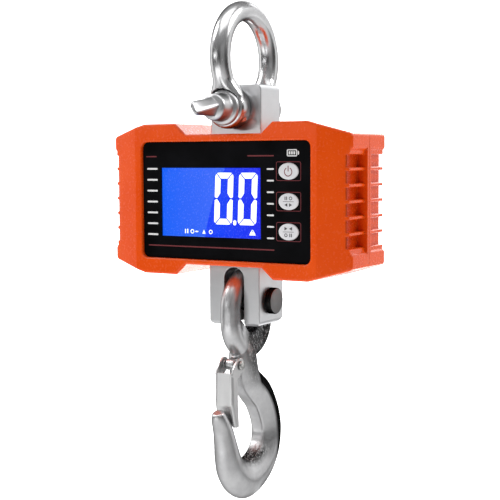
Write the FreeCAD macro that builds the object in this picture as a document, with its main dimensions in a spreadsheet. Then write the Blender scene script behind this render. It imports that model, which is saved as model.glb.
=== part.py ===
import FreeCAD, Part
import math
import os
import re
import Sketcher
from FreeCAD import Placement, Rotation, Vector

# A crane scale: a shackle, a display housing round a load cell, and a latched hook under it.
# The origin is the inside of the shackle's crown, where the crane's hook bears.
# +Z is up, the display faces -Y and +X is to the display's right.
# Pieces are laid out about the middle of the housing, which hangs at housing_z.

DIMENSIONS = {
    # housing outline
    "housing_z": -121.5,
    "half_width": 94.0,
    "half_depth": 31.2,
    "half_height": 52.0,
    "channel_half": 30.0,
    "channel_rim": 38.4,
    "channel_floor": 44.5,
    "crown_end": 64.6,
    "shoulder": 43.6,
    "bevel_start": 71.5,
    "side_half_depth": 25.0,
    "edge_round": 1.6,
    "side_round": 3.0,
    "seam_gap": 0.15,
    # cavity of the two covers
    "wall": 3.0,
    "cavity_half": 82.0,
    "cavity_shoulder": 41.4,
    "deep_half": 74.0,
    "front_cavity": 25.4,
    "rear_cavity": 28.2,
    "block_slip": 0.15,
    # finger pockets in the sides
    "front_pocket_floor": 86.8,
    "rear_pocket_floor": 88.8,
    "pocket_half": 31.5,
    "pocket_edge": 89.6,
    "front_pocket_end": 26.0,
    "rear_pocket_end": 27.8,
    "pocket_round": 2.4,
    "rib_round": 0.9,
    "seam_bar": 2.75,
    "rib_tip": 92.0,
    "rib_pitch": 10.45,
    "rib_thickness": 2.2,
    # cover bosses and screws
    "boss_x": 76.0,
    "boss_z": 38.0,
    "boss_radius": 4.5,
    "screw_radius": 2.0,
    "screw_head": 3.6,
    "screw_seat": 26.0,
    "screw_end": -18.0,
    # display
    "panel_half": 66.7,
    "panel_top": 39.6,
    "panel_bottom": -40.9,
    "panel_corner": 4.5,
    "panel_lip": 1.2,
    "panel_face": 28.8,
    "panel_seat": 27.6,
    "glass_left": -51.2,
    "glass_right": 28.6,
    "glass_top": 21.7,
    "glass_bottom": -25.4,
    "board_face": 21.6,
    "board_back": 20.0,
    "board_half": 70.0,
    "board_top": 37.0,
    "post_x": 66.0,
    "post_z": 33.5,
    # keys
    "key_x": 49.8,
    "key_z": -0.2,
    "key_pitch": 19.8,
    "key_half_width": 7.4,
    "key_half_height": 5.45,
    "key_gap": 0.2,
    # load path
    "block_half": 20.0,
    "upper_block_depth": 13.0,
    "upper_block_top": 78.0,
    "block_end": 31.0,
    "lower_block_depth": 16.5,
    "lower_block_bottom": -86.5,
    "block_corner": 3.5,
    "cell_half": 25.0,
    "stud_radius": 6.0,
    "stud_reach": 13.0,
    "slot_half": 8.0,
    "slot_crown": -54.3,
    # shackle
    "shackle_pin_z": 62.0,
    "shackle_pin_radius": 8.0,
    "running_fit": 0.06,
    "bow_radius": 32.2,
    "bow_bar": 7.0,
    "bow_centre": 96.3,
    "bow_droop": 22.0,
    "ear_radius": 14.0,
    "ear_near": 14.0,
    "ear_far": 27.6,
    "collar_radius": 12.0,
    "collar_end": 31.0,
    "neck_radius": 9.0,
    "neck_end": 42.4,
    "tongue_end": 65.6,
    # clevis pin
    "clevis_z": -70.0,
    "clevis_radius": 8.0,
    "clevis_head": 9.1,
    "clevis_reach": 24.4,
    # hook
    "eye_radius": 21.0,
    "eye_bar": 7.0,
    "eye_top": -75.7,
    "eye_bottom": -84.0,
    "latch_y": -20.0,
    "latch_z": -113.3,
    "latch_pin_radius": 2.0,
    "latch_half": 7.5,
    "latch_sheet": 1.5,
    # battery box
    "tray_left": -73.5,
    "tray_right": -27.3,
    "tray_front": 9.0,
    "tray_back": 27.9,
    "tray_half": 28.0,
    "tray_wall": 1.2,
    "cell_radius": 7.1,
    "cell_pitch": 14.6,
    "door_left": -71.0,
    "door_right": -30.0,
    "door_half": 26.0,
    "door_sheet": 1.8,
    "lead_x": -43.0,
}

doc = FreeCAD.newDocument("crane_scale")
sheet = doc.addObject("Spreadsheet::Sheet", "Dims")
for row, (alias, size) in enumerate(DIMENSIONS.items(), start=1):
    sheet.set(f"A{row}", alias)
    sheet.set(f"B{row}", str(size))
    sheet.setAlias(f"B{row}", alias)
doc.recompute()

nodes = []


def linked(text):
    """An expression with each dimension's name pointing at its cell."""
    return re.sub(r"[a-z_]+", lambda m: "Dims." + m[0] if m[0] in DIMENSIONS else m[0], str(text))


def number(text):
    return float(sheet.evalExpression(linked(text)))


def bind(thing, path, text):
    thing.setExpression(path, linked(text))


def publish(thing, label, height="housing_z"):
    """Make an object a sub-part, hung at the housing's height."""
    thing.Label = label
    bind(thing, "Placement.Base.z", height)
    nodes.append(thing)
    return thing


# ---- PartDesign helpers ----

def new_body(label, height="housing_z"):
    return publish(doc.addObject("PartDesign::Body", label), label, height)


def constrain(sketch, kind, geometry, point, text):
    place = sketch.addConstraint(Sketcher.Constraint(kind, -1, 1, geometry, point, number(text)))
    bind(sketch, f"Constraints[{place}]", text)


def add_polygon(sketch, corners):
    """A closed outline whose every corner is set by two expressions."""
    first = sketch.GeometryCount
    spots = [Vector(number(u), number(v), 0) for u, v in corners]
    for spot, following in zip(spots, spots[1:] + spots[:1]):
        sketch.addGeometry(Part.LineSegment(spot, following), False)
    for index, (u, v) in enumerate(corners):
        following = first + (index + 1) % len(corners)
        sketch.addConstraint(Sketcher.Constraint("Coincident", first + index, 2, following, 1))
        constrain(sketch, "DistanceX", first + index, 1, u)
        constrain(sketch, "DistanceY", first + index, 1, v)


def add_circle(sketch, u, v, radius):
    centre = Vector(number(u), number(v), 0)
    index = sketch.addGeometry(Part.Circle(centre, Vector(0, 0, 1), number(radius)), False)
    constrain(sketch, "DistanceX", index, 3, u)
    constrain(sketch, "DistanceY", index, 3, v)
    place = sketch.addConstraint(Sketcher.Constraint("Radius", index, number(radius)))
    bind(sketch, f"Constraints[{place}]", radius)


def sketch_on(body, plane, at, loops):
    """A sketch parallel to one of the body's origin planes, at a distance along that plane's axis."""
    sketch = body.newObject("Sketcher::SketchObject", body.Name + "_sketch")
    support = [o for o in body.Origin.OriginFeatures if o.Role == plane + "_Plane"][0]
    sketch.AttachmentSupport = [(support, "")]
    sketch.MapMode = "FlatFace"
    facing = -1 if plane == "XZ" else 1
    bind(sketch, ".AttachmentOffset.Base.z", f"{facing} * ({at})")
    for loop in loops:
        if loop[0] == "circle":
            add_circle(sketch, *loop[1:])
        else:
            add_polygon(sketch, loop)
    return sketch


def swept(body, kind, plane, loops, start, end):
    """Pad or pocket the loops from start to end along the axis across the plane."""
    feature = body.newObject("PartDesign::" + kind, body.Name + "_" + kind)
    feature.Profile = sketch_on(body, plane, start, loops)
    bind(feature, "Length", f"abs(({end}) - ({start}))")
    outward = number(end) > number(start)
    along_normal = outward != (plane == "XZ")
    feature.Reversed = along_normal if kind == "Pocket" else not along_normal
    doc.recompute()
    return feature


def grow(body, plane, loops, start, end):
    return swept(body, "Pad", plane, loops, start, end)


def cut(body, plane, loops, start, end):
    before = body.Shape.Volume
    feature = swept(body, "Pocket", plane, loops, start, end)
    if not body.Shape.Volume < before - 1e-6:
        raise RuntimeError(f"{feature.Name} removes nothing")
    return feature


def dress(body, kind, size, wanted):
    """Round or chamfer the edges of the body's last feature that the test picks."""
    base = body.Tip
    names = [f"Edge{i}" for i, edge in enumerate(base.Shape.Edges, start=1) if wanted(edge)]
    feature = body.newObject("PartDesign::" + kind, body.Name + "_" + kind)
    feature.Base = (base, names)
    bind(feature, "Radius" if kind == "Fillet" else "Size", size)
    doc.recompute()
    return feature


def rectangle(left, bottom, right, top):
    return [(left, bottom), (right, bottom), (right, top), (left, top)]


def runs_along(edge, axis):
    """True for a straight edge parallel to the axis (0, 1 or 2 for X, Y or Z)."""
    if len(edge.Vertexes) != 2:
        return False
    run = edge.Vertexes[1].Point - edge.Vertexes[0].Point
    return abs(abs(run[axis]) - edge.Length) < 1e-6


# ---- Part helpers ----

TURNS = {
    "X": Rotation(Vector(0, 1, 0), 90),
    "Y": Rotation(Vector(1, 0, 0), -90),
    "Z": Rotation(),
}


def place(thing, x, y, z):
    for axis, text in zip("xyz", (x, y, z)):
        bind(thing, f"Placement.Base.{axis}", text)
    return thing


def block(x, y, z):
    """A box between the two ends given for each axis."""
    box = doc.addObject("Part::Box", "block")
    for side, (low, high) in zip(("Length", "Width", "Height"), (x, y, z)):
        bind(box, side, f"({high}) - ({low})")
    return place(box, x[0], y[0], z[0])


def rod(axis, centre, radius, start, end):
    """A cylinder along an axis; centre holds its two other coordinates, in X, Y, Z order."""
    cylinder = doc.addObject("Part::Cylinder", "rod")
    cylinder.Placement = Placement(Vector(), TURNS[axis])
    bind(cylinder, "Radius", radius)
    bind(cylinder, "Height", f"({end}) - ({start})")
    spot = list(centre)
    spot.insert("XYZ".index(axis), start)
    return place(cylinder, *spot)


def fused(*members):
    union = doc.addObject("Part::MultiFuse", "union")
    union.Shapes = list(members)
    return union


def gathered(*members):
    group = doc.addObject("Part::Compound", "group")
    group.Links = list(members)
    return group


def without(base, *tools):
    difference = doc.addObject("Part::Cut", "difference")
    difference.Base = base
    difference.Tool = tools[0] if len(tools) == 1 else gathered(*tools)
    return difference


def tube(axis, centre, inner, outer, start, end):
    hole = rod(axis, centre, inner, f"({start}) - 1", f"({end}) + 1")
    return without(rod(axis, centre, outer, start, end), hole)


# ---- housing covers ----

def mirrored_outline(half):
    """An outline symmetric about both axes, from the corners of its upper right quarter."""
    right = half + [(u, f"-({v})") for u, v in reversed(half)]
    return right + [(f"-({u})", v) for u, v in reversed(right)]


OUTLINE = mirrored_outline([
    ("channel_half", "channel_floor"),
    ("channel_rim", "half_height"),
    ("crown_end", "half_height"),
    ("half_width", "shoulder"),
])
CAVITY = mirrored_outline([
    ("channel_half + 1", "channel_floor - wall"),
    ("channel_rim + 1", "half_height - wall"),
    ("crown_end - 1", "half_height - wall"),
    ("cavity_half", "cavity_shoulder + 2"),
])
BOSSES = [(f"{i} * boss_x", f"{k} * boss_z") for i in (-1, 1) for k in (-1, 1)]


def circles(spots, radius):
    return [("circle", *spot, radius) for spot in spots]


def cover_shell(body, side, cavity):
    """One half of the housing: side is -1 for the front half and 1 for the rear half."""
    seam = f"{side} * seam_gap"
    face = f"{side} * half_depth"
    grow(body, "XZ", [OUTLINE], seam, face)
    bevels = [[
        (f"{hand} * bevel_start", face),
        (f"{hand} * half_width", f"{side} * side_half_depth"),
        (f"{hand} * (half_width + 2)", f"{side} * side_half_depth"),
        (f"{hand} * (half_width + 2)", f"{side} * (half_depth + 2)"),
        (f"{hand} * bevel_start", f"{side} * (half_depth + 2)"),
    ] for hand in (-1, 1)]
    cut(body, "XY", bevels, "-half_height - 1", "half_height + 1")
    dress(body, "Fillet", "side_round", is_side_corner)
    dress(body, "Fillet", "edge_round", lambda e: not on_seam(e, number(seam)) and not near_side(e))
    cut(body, "XZ", [CAVITY], seam, f"{side} * ({cavity})")


def on_seam(edge, seam):
    return all(abs(vertex.Y - seam) < 1e-6 for vertex in edge.Vertexes)


def near_side(edge):
    """True for an edge that runs front to back close to a side face."""
    return runs_along(edge, 1) and abs(edge.CenterOfMass.x) > number("half_width - side_round")


def is_side_corner(edge):
    return runs_along(edge, 1) and abs(abs(edge.CenterOfMass.x) - number("half_width")) < 1e-3


def side_pockets(body, side, floor, end):
    """Finger pockets with ribs across them, in both sides of a cover."""
    recesses = [[
        (f"{hand} * (half_width + 2)", "-pocket_half - 5"),
        (f"{hand} * (half_width + 2)", "pocket_half + 5"),
        (f"{hand} * rib_tip", "pocket_half + 1"),
        (f"{hand} * rib_tip", "-pocket_half - 1"),
    ] for hand in (-1, 1)]
    cut(body, "XZ", recesses, f"{side} * seam_bar", f"{side} * half_depth")
    dress(body, "Fillet", "pocket_round", is_recess_corner)
    reach = "(rib_pitch - rib_thickness) / 2"
    cells = [rectangle(
        f"{hand} * {floor}", f"{step} * rib_pitch - {reach}",
        f"{hand} * (half_width + 2)", f"{step} * rib_pitch + {reach}",
    ) for hand in (-1, 1) for step in (-2.5, -1.5, -0.5, 0.5, 1.5, 2.5)]
    cut(body, "XZ", cells, f"{side} * seam_bar", f"{side} * {end}")
    dress(body, "Fillet", "rib_round", is_rib_edge)


def is_recess_corner(edge):
    """The edges where a side's recess slopes in from the side face."""
    middle = edge.CenterOfMass
    at_slope = number("pocket_half") < abs(middle.z) < number("pocket_half + 4")
    return runs_along(edge, 1) and abs(middle.x) > number("rib_tip") - 0.1 and at_slope


def is_rib_edge(edge):
    """The long edges on the tips of a side's ribs."""
    middle = edge.CenterOfMass
    on_tip = abs(abs(middle.x) - number("rib_tip")) < 1e-3
    return runs_along(edge, 1) and on_tip and abs(middle.z) < number("pocket_half")


def block_passage(body, side, depth, low, high):
    """An opening in a channel floor, snug round a load block."""
    opening = rectangle("-block_half - block_slip", f"{side} * seam_gap",
                        "block_half + block_slip", f"{side} * ({depth} + block_slip)")
    cut(body, "XY", [opening], low, high)


def front_cover():
    body = new_body("front_cover")
    cover_shell(body, -1, "front_cavity")
    grow(body, "XZ", circles(BOSSES, "boss_radius"), "-front_cavity - 0.5", "-seam_gap")
    cut(body, "XZ", circles(BOSSES, "screw_radius"), "-seam_gap", "screw_end - 1")
    side_pockets(body, -1, "front_pocket_floor", "front_pocket_end")
    block_passage(body, -1, "upper_block_depth", "channel_floor - wall - 1", "channel_floor + 1")
    block_passage(body, -1, "lower_block_depth", "-channel_floor - 1", "-channel_floor + wall + 1")
    cut(body, "XZ", [rectangle("-panel_half", "panel_bottom", "panel_half", "panel_top")],
        "-panel_seat", "-half_depth - 1")
    dress(body, "Fillet", "panel_corner", is_panel_corner)
    dress(body, "Fillet", "panel_lip", is_panel_lip)
    window = rectangle("-panel_half + 5", "panel_bottom + 5", "panel_half - 5", "panel_top - 5")
    cut(body, "XZ", [window], "-panel_seat", "-front_cavity + 1")


def is_panel_corner(edge):
    """The four short edges at the corners of the display recess."""
    middle = edge.CenterOfMass
    at_end = abs(abs(middle.x) - number("panel_half")) < 0.1
    at_top = abs(middle.z - number("panel_top")) < 0.1
    at_bottom = abs(middle.z - number("panel_bottom")) < 0.1
    return runs_along(edge, 1) and at_end and (at_top or at_bottom)


def is_panel_lip(edge):
    """The outline of the display recess on the housing's front face."""
    middle = edge.CenterOfMass
    on_face = all(abs(vertex.Y + number("half_depth")) < 1e-6 for vertex in edge.Vertexes)
    in_height = number("panel_bottom") - 0.1 < middle.z < number("panel_top") + 0.1
    return on_face and in_height and abs(middle.x) < number("panel_half") + 0.1


def rear_cover():
    body = new_body("rear_cover")
    cover_shell(body, 1, "side_half_depth")
    deep = rectangle("-deep_half", "-cavity_shoulder + 3", "deep_half", "cavity_shoulder - 3")
    cut(body, "XZ", [deep], "side_half_depth", "rear_cavity")
    grow(body, "XZ", circles(BOSSES, "boss_radius + 0.5"), "seam_gap", "side_half_depth + 0.5")
    cut(body, "XZ", circles(BOSSES, "screw_radius + 0.2"), "seam_gap", "half_depth")
    cut(body, "XZ", circles(BOSSES, "screw_head + 0.4"), "screw_seat", "half_depth + 1")
    side_pockets(body, 1, "rear_pocket_floor", "rear_pocket_end")
    block_passage(body, 1, "upper_block_depth", "channel_floor - wall - 1", "channel_floor + 1")
    block_passage(body, 1, "lower_block_depth", "-channel_floor - 1", "-channel_floor + wall + 1")
    seat = rectangle("door_left - 0.2", "-door_half - 0.2", "door_right + 0.2", "door_half + 0.2")
    cut(body, "XZ", [seat], "half_depth - door_sheet - 0.1", "half_depth + 1")
    hatch = rectangle("door_left + 3", "-door_half + 3", "door_right - 3", "door_half - 3")
    cut(body, "XZ", [hatch], "rear_cavity - 1", "half_depth")


def cover_gasket():
    """A flat rubber ring between the covers, set back from the outer face."""
    setback = 0.8
    corners = [Vector(number(u), 0, number(v)) for u, v in OUTLINE]
    outline = Part.makePolygon(corners + corners[:1])
    outer = outline.makeOffset2D(-setback, join=2)
    inner = outline.makeOffset2D(-number("wall") + 0.2, join=2)
    ring = Part.Face(outer).cut(Part.Face(inner))
    gap = number("seam_gap")
    ring.translate(Vector(0, -gap, 0))
    gasket = ring.extrude(Vector(0, 2 * gap, 0))
    for half in ("upper_block_depth", "lower_block_depth"):
        width = 2 * (number("block_half") + number("block_slip"))
        sign = 1 if half.startswith("upper") else -1
        passage = Part.makeBox(width, 4, 20, Vector(-width / 2, -2, sign * number("channel_floor") - 10))
        gasket = gasket.cut(passage)
    feature = doc.addObject("Part::Feature", "cover_gasket")
    feature.Shape = gasket
    publish(feature, "cover_gasket")


def cover_screws():
    screws = []
    for x, z in BOSSES:
        screws.append(rod("Y", (x, z), "screw_radius", "screw_end", "screw_seat + 0.1"))
        head = rod("Y", (x, z), "screw_head", "screw_seat", "screw_seat + 2.4")
        socket = rod("Y", (x, z), "screw_radius - 0.5", "screw_seat + 1", "screw_seat + 3")
        screws.append(without(head, socket))
    pairs = [fused(shank, head) for shank, head in zip(screws[::2], screws[1::2])]
    publish(gathered(*pairs), "cover_screws")


# ---- display ----

def key_height(index):
    """The height of a key's middle; index is -1, 0 or 1 from the bottom up."""
    return f"key_z + {index} * key_pitch"


def key_shape(index, grow_by, start, end):
    """A key's oval outline, grown all round, from start to end along Y."""
    oval = doc.addObject("Part::Ellipse", "oval")
    bind(oval, "MajorRadius", f"key_half_width + {grow_by}")
    bind(oval, "MinorRadius", f"key_half_height + {grow_by}")
    oval.Placement = Placement(Vector(), Rotation(Vector(1, 0, 0), 90))
    place(oval, "key_x", start, key_height(index))
    prism = doc.addObject("Part::Extrusion", "prism")
    prism.Base = oval
    prism.DirMode = "Custom"
    prism.Dir = Vector(0, 1, 0)
    prism.Solid = True
    bind(prism, "LengthFwd", f"({end}) - ({start})")
    return prism


def panel_overlay():
    """The display's front panel, with a window and three oval key holes."""
    body = doc.addObject("PartDesign::Body", "overlay_plate")
    edge = "panel_half - 0.15"
    outline = rectangle(f"-({edge})", "panel_bottom + 0.15", edge, "panel_top - 0.15")
    window = rectangle("glass_left", "glass_bottom", "glass_right", "glass_top")
    grow(body, "XZ", [outline, window], "-panel_seat", "-panel_face")
    dress(body, "Fillet", "panel_corner", is_overlay_corner)
    holes = [key_shape(i, "key_gap", "-panel_face - 1", "-panel_seat + 1") for i in (-1, 0, 1)]
    publish(without(body, *holes), "panel_overlay")


def is_overlay_corner(edge):
    return runs_along(edge, 1) and abs(edge.CenterOfMass.x) > number("panel_half") - 1


def display_stack():
    fit = 0.05
    window = block((f"glass_left + {fit}", f"glass_right - {fit}"), ("-panel_face", "-panel_seat"),
                   (f"glass_bottom + {fit}", f"glass_top - {fit}"))
    publish(window, "display_window", f"housing_z + glass_bottom + {fit}")
    margin_x = ("glass_left - 4.5", "glass_right + 4.5")
    margin_z = ("glass_bottom - 4", "glass_top + 4")
    glass = block(margin_x, ("-panel_seat + 0.3", "-panel_seat + 3"), margin_z)
    publish(glass, "lcd_glass", "housing_z + glass_bottom - 4")
    light = block(margin_x, ("-panel_seat + 3.1", "-board_face"), margin_z)
    publish(light, "backlight", "housing_z + glass_bottom - 4")


KEYS = {"button_tare": -1, "button_hold": 0, "button_power": 1}


def keys():
    """Three oval keys, each with a flange behind the panel and a stem over its switch."""
    for label, index in KEYS.items():
        cap = key_shape(index, 0, "-panel_face - 0.6", "-panel_seat + 0.5")
        flange = key_shape(index, 1.2, "-panel_seat + 0.3", "-panel_seat + 1.3")
        stem = rod("Y", ("key_x", key_height(index)), 2, "-panel_seat + 1.2", "-24")
        publish(fused(cap, flange, stem), label)


def tact_switches():
    switches = []
    for index in KEYS.values():
        height = key_height(index)
        can = block(("key_x - 3", "key_x + 3"), ("-board_face - 1.2", "-board_face"),
                    (f"{height} - 3", f"{height} + 3"))
        plunger = rod("Y", ("key_x", height), 1.7, "-board_face - 1.6", "-board_face - 1")
        switches.append(fused(can, plunger))
    publish(gathered(*switches), "tact_switches")


POSTS = [(f"{i} * post_x", f"{k} * post_z") for i in (-1, 1) for k in (-1, 1)]


def main_board():
    plate = block(("-board_half", "board_half"), ("-board_face", "-board_back"),
                  ("-board_top", "board_top"))
    holes = [rod("Y", spot, 1.5, "-board_face - 1", "-board_back + 1") for spot in POSTS]
    publish(without(plate, *holes), "main_board")
    posts = [rod("Y", spot, 3, "-front_cavity", "-board_face") for spot in POSTS]
    threads = [rod("Y", spot, 1.5, "-board_face - 3", "-board_face + 1") for spot in POSTS]
    pillars = [without(post, thread) for post, thread in zip(posts, threads)]
    publish(gathered(*pillars), "board_posts")
    screws = []
    for spot in POSTS:
        shank = rod("Y", spot, 1.5, "-board_face - 2.5", "-board_back + 0.1")
        head = rod("Y", spot, 2.8, "-board_back", "-board_back + 1.6")
        screws.append(fused(shank, head))
    publish(gathered(*screws), "board_screws")


def board_components():
    """The chips, connectors and capacitor on the back of the board."""
    back = "-board_back"
    parts = [
        block((-12, 2), (back, f"{back} + 1.6"), (-7, 7)),
        block((12, 22), (back, f"{back} + 1.6"), (4, 10)),
        block(("lead_x - 5", "lead_x + 5"), (back, f"{back} + 2"), (-2, 4)),
        block((-58, -46), (back, f"{back} + 2"), (28, 33)),
        rod("Y", (36, -14), 3.2, back, f"{back} + 6"),
    ]
    publish(gathered(*parts), "board_components")


# ---- load path ----

def upper_block():
    body = new_body("upper_block")
    grow(body, "XZ", [rectangle("-block_half", "block_end", "block_half", "upper_block_top")],
         "-upper_block_depth", "upper_block_depth")
    dress(body, "Fillet", "block_corner", lambda e: runs_along(e, 1) and e.CenterOfMass.z > 50)
    dress(body, "Fillet", 0.7, lambda e: e.CenterOfMass.z > 50)
    cut(body, "XZ", [("circle", 0, "shackle_pin_z", "shackle_pin_radius + running_fit")],
        "-upper_block_depth - 1", "upper_block_depth + 1")
    cut(body, "XY", [("circle", 0, 0, "stud_radius")], "block_end", "block_end + stud_reach")


def lower_block():
    body = new_body("lower_block")
    grow(body, "XZ", [rectangle("-block_half", "lower_block_bottom", "block_half", "-block_end")],
         "-lower_block_depth", "lower_block_depth")
    dress(body, "Fillet", "block_corner", lambda e: runs_along(e, 1) and e.CenterOfMass.z < -50)
    heel = [("lower_block_depth - 5", "lower_block_bottom - 1"),
            ("lower_block_depth - 5", "lower_block_bottom"),
            ("lower_block_depth", "lower_block_bottom + 4"),
            ("lower_block_depth + 1", "lower_block_bottom - 1")]
    toe = [("-lower_block_depth + 1.6", "lower_block_bottom - 1"),
           ("-lower_block_depth + 1.6", "lower_block_bottom"),
           ("-lower_block_depth", "lower_block_bottom + 2"),
           ("-lower_block_depth - 1", "lower_block_bottom - 1")]
    cut(body, "YZ", [heel, toe], "-block_half - 1", "block_half + 1")
    dress(body, "Fillet", 0.7, lambda e: runs_along(e, 2))
    slot = rectangle("-slot_half", "lower_block_bottom - 1", "slot_half", "slot_crown")
    cut(body, "XZ", [slot], "-lower_block_depth - 1", "lower_block_depth + 1")
    cut(body, "XZ", [("circle", 0, "slot_crown", "slot_half")],
        "-lower_block_depth - 1", "lower_block_depth + 1")
    cut(body, "YZ", [("circle", 0, "clevis_z", "clevis_radius")], "-block_half - 1", "block_half + 1")
    cut(body, "XY", [("circle", 0, 0, "stud_radius")], "-block_end - stud_reach", "-block_end")


def load_cell():
    """An S beam: two slots from opposite sides meet a window in the middle."""
    beam = block(("-cell_half", "cell_half"), ("-upper_block_depth", "upper_block_depth"),
                 ("-cell_half", "cell_half"))
    across = ("-upper_block_depth - 1", "upper_block_depth + 1")
    upper = block(("-cell_half - 1", "8"), across, (9, 12))
    lower = block(("-8", "cell_half + 1"), across, (-12, -9))
    window = rod("Y", (0, 0), 7, *across)
    bores = [rod("Z", (0, 0), "stud_radius", 13, "cell_half + 1"),
             rod("Z", (0, 0), "stud_radius", "-cell_half - 1", -13)]
    publish(without(beam, upper, lower, window, *bores), "load_cell")


def studs():
    for label, sign in (("upper_stud", 1), ("lower_stud", -1)):
        ends = sorted((f"{sign} * 14", f"{sign} * (block_end + stud_reach)"), key=number)
        publish(rod("Z", (0, 0), "stud_radius", *ends), label, f"housing_z + {ends[0]}")


def lock_nuts():
    """A hexagon nut on each stud, tight against the load cell."""
    nuts = []
    for sign in (-1, 1):
        body = doc.addObject("PartDesign::Body", "lock_nut")
        corners = [(f"stud_radius * 1.75 * cos({60 * i})", f"stud_radius * 1.75 * sin({60 * i})")
                   for i in range(6)]
        grow(body, "XY", [corners, ("circle", 0, 0, "stud_radius")],
             f"{sign} * (cell_half + 0.2)", f"{sign} * (block_end - 0.2)")
        nuts.append(body)
    publish(gathered(*nuts), "lock_nuts")


def clevis_pin():
    """The pin through the lower block that carries the hook's eye, with its washer and ring."""
    centre = (0, "clevis_z")
    shank = rod("X", centre, "clevis_radius", "-block_half - 4", "block_half + 0.5")
    head = rod("X", centre, "clevis_head", "block_half", "clevis_reach")
    groove = tube("X", centre, "clevis_radius - 1", "clevis_radius + 1",
                  "-block_half - 2.6", "-block_half - 1.4")
    pin = without(fused(shank, head), groove)
    publish(pin, "clevis_pin")
    washer = tube("X", centre, "clevis_radius + 0.1", "clevis_radius + 3",
                  "-block_half - 1.3", "-block_half")
    publish(washer, "pin_washer")
    ring = tube("X", centre, "clevis_radius - 1", "clevis_radius + 2",
                "-block_half - 2.5", "-block_half - 1.5")
    gap = block(("-block_half - 3", "-block_half - 1"), (-3, 3), ("clevis_z - 12", "clevis_z"))
    publish(without(ring, gap), "pin_ring")


# ---- shackle ----

def shackle_bow():
    """A round bar bent over the arc, two straight legs and two flat ears."""
    droop = math.radians(number("bow_droop"))
    arc = doc.addObject("Part::Torus", "bow_arc")
    bind(arc, "Radius1", "bow_radius")
    bind(arc, "Radius2", "bow_bar")
    bind(arc, "Angle3", "180 + 2 * bow_droop")
    start = Vector(0, math.cos(droop), -math.sin(droop))
    across = Vector(1, 0, 0)
    arc.Placement = Placement(Vector(), Rotation(start, across.cross(start), across, "ZXY"))
    place(arc, 0, 0, "bow_centre")
    pieces = [arc]
    for side in (-1, 1):
        leg = doc.addObject("Part::Cylinder", "bow_leg")
        bind(leg, "Radius", "bow_bar")
        bind(leg, "Height", "(bow_centre - shackle_pin_z) * 0.72")
        down = Vector(0, -side * math.sin(droop), -math.cos(droop))
        leg.Placement = Placement(Vector(), Rotation(Vector(0, 0, 1), down))
        place(leg, 0, f"{side} * bow_radius * cos(bow_droop)", "bow_centre - bow_radius * sin(bow_droop)")
        ends = sorted((f"{side} * ear_near", f"{side} * ear_far"), key=number)
        ear = rod("Y", (0, "shackle_pin_z"), "ear_radius", *ends)
        pieces += [leg, ear]
    bore = rod("Y", (0, "shackle_pin_z"), "shackle_pin_radius", "-ear_far - 1", "ear_far + 1")
    inner = block((-20, 20), ("-ear_near", "ear_near"), ("shackle_pin_z - 20", "shackle_pin_z + 16"))
    seats = [rod("Y", (0, "shackle_pin_z"), "collar_radius + 0.6", *ends)
             for ends in (("-ear_far - 12", "-ear_far"), ("ear_far", "ear_far + 12"))]
    publish(without(fused(*pieces), bore, inner, *seats), "shackle_bow")


# The tongue's corners (X, Z) about the pin's axis, next to the neck and at its end.
TONGUE_ROOT = [(-1.2, 7.4), (6.4, 1.0), (1.8, -7.2), (-6.4, -1.6)]
TONGUE_END = [(-0.6, 2.0), (1.7, -4.0), (0.7, -5.6), (-2.0, 0.2)]


def shackle_pin():
    """A screw pin with a collar, a round neck and a flat tongue to turn it by."""
    body = new_body("shackle_pin", "housing_z + shackle_pin_z")
    grow(body, "XZ", [("circle", 0, 0, "shackle_pin_radius")], "-ear_far", "ear_far + 3")
    grow(body, "XZ", [("circle", 0, 0, "collar_radius")], "-collar_end", "-ear_far")
    grow(body, "XZ", [("circle", 0, 0, "neck_radius")], "-neck_end", "-collar_end")
    tongue = body.newObject("PartDesign::AdditiveLoft", "tongue")
    tongue.Profile = sketch_on(body, "XZ", "-neck_end", [TONGUE_ROOT])
    tongue.Sections = [sketch_on(body, "XZ", "-tongue_end", [TONGUE_END])]
    doc.recompute()
    dress(body, "Fillet", 0.8, is_tongue_corner)


def is_tongue_corner(edge):
    """The long edges of the tongue, from the neck to its end."""
    heights = sorted(vertex.Y for vertex in edge.Vertexes)
    from_end = abs(heights[0] + number("tongue_end")) < 1e-3
    return from_end and abs(heights[-1] + number("neck_end")) < 1e-3


# ---- hook ----

# Stations down the forging: centre (Y, Z), half width across X, half depth, heading (Y, Z).
HOOK = [
    ((-4.0, -102.0), 7.0, 9.0, (-0.20, -0.98)),
    ((-5.6, -108.0), 9.3, 10.2, (-0.05, -1.00)),
    ((-4.6, -117.0), 10.0, 10.6, (0.25, -0.97)),
    ((-1.0, -126.0), 10.0, 11.2, (0.50, -0.87)),
    ((6.5, -132.7), 10.0, 11.8, (0.62, -0.78)),
    ((14.9, -139.5), 10.0, 12.5, (0.58, -0.81)),
    ((21.4, -148.6), 10.0, 12.9, (0.48, -0.88)),
    ((26.1, -158.7), 10.0, 13.2, (0.28, -0.96)),
    ((27.6, -169.5), 10.0, 13.6, (-0.05, -1.00)),
    ((24.1, -181.3), 10.0, 14.0, (-0.45, -0.89)),
    ((14.2, -191.6), 10.0, 14.2, (-0.80, -0.60)),
    ((-1.5, -197.1), 10.0, 14.1, (-1.00, -0.06)),
    ((-13.5, -194.0), 10.0, 13.0, (-0.90, 0.44)),
    ((-22.0, -186.5), 9.6, 11.2, (-0.66, 0.75)),
    ((-26.2, -177.0), 9.0, 9.4, (-0.33, 0.94)),
    ((-28.8, -167.5), 8.0, 8.1, (-0.27, 0.96)),
    ((-31.8, -157.5), 6.9, 7.0, (-0.33, 0.94)),
    ((-36.0, -149.0), 5.7, 5.8, (-0.46, 0.89)),
    ((-38.8, -143.6), 3.8, 3.9, (-0.46, 0.89)),
]
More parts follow.
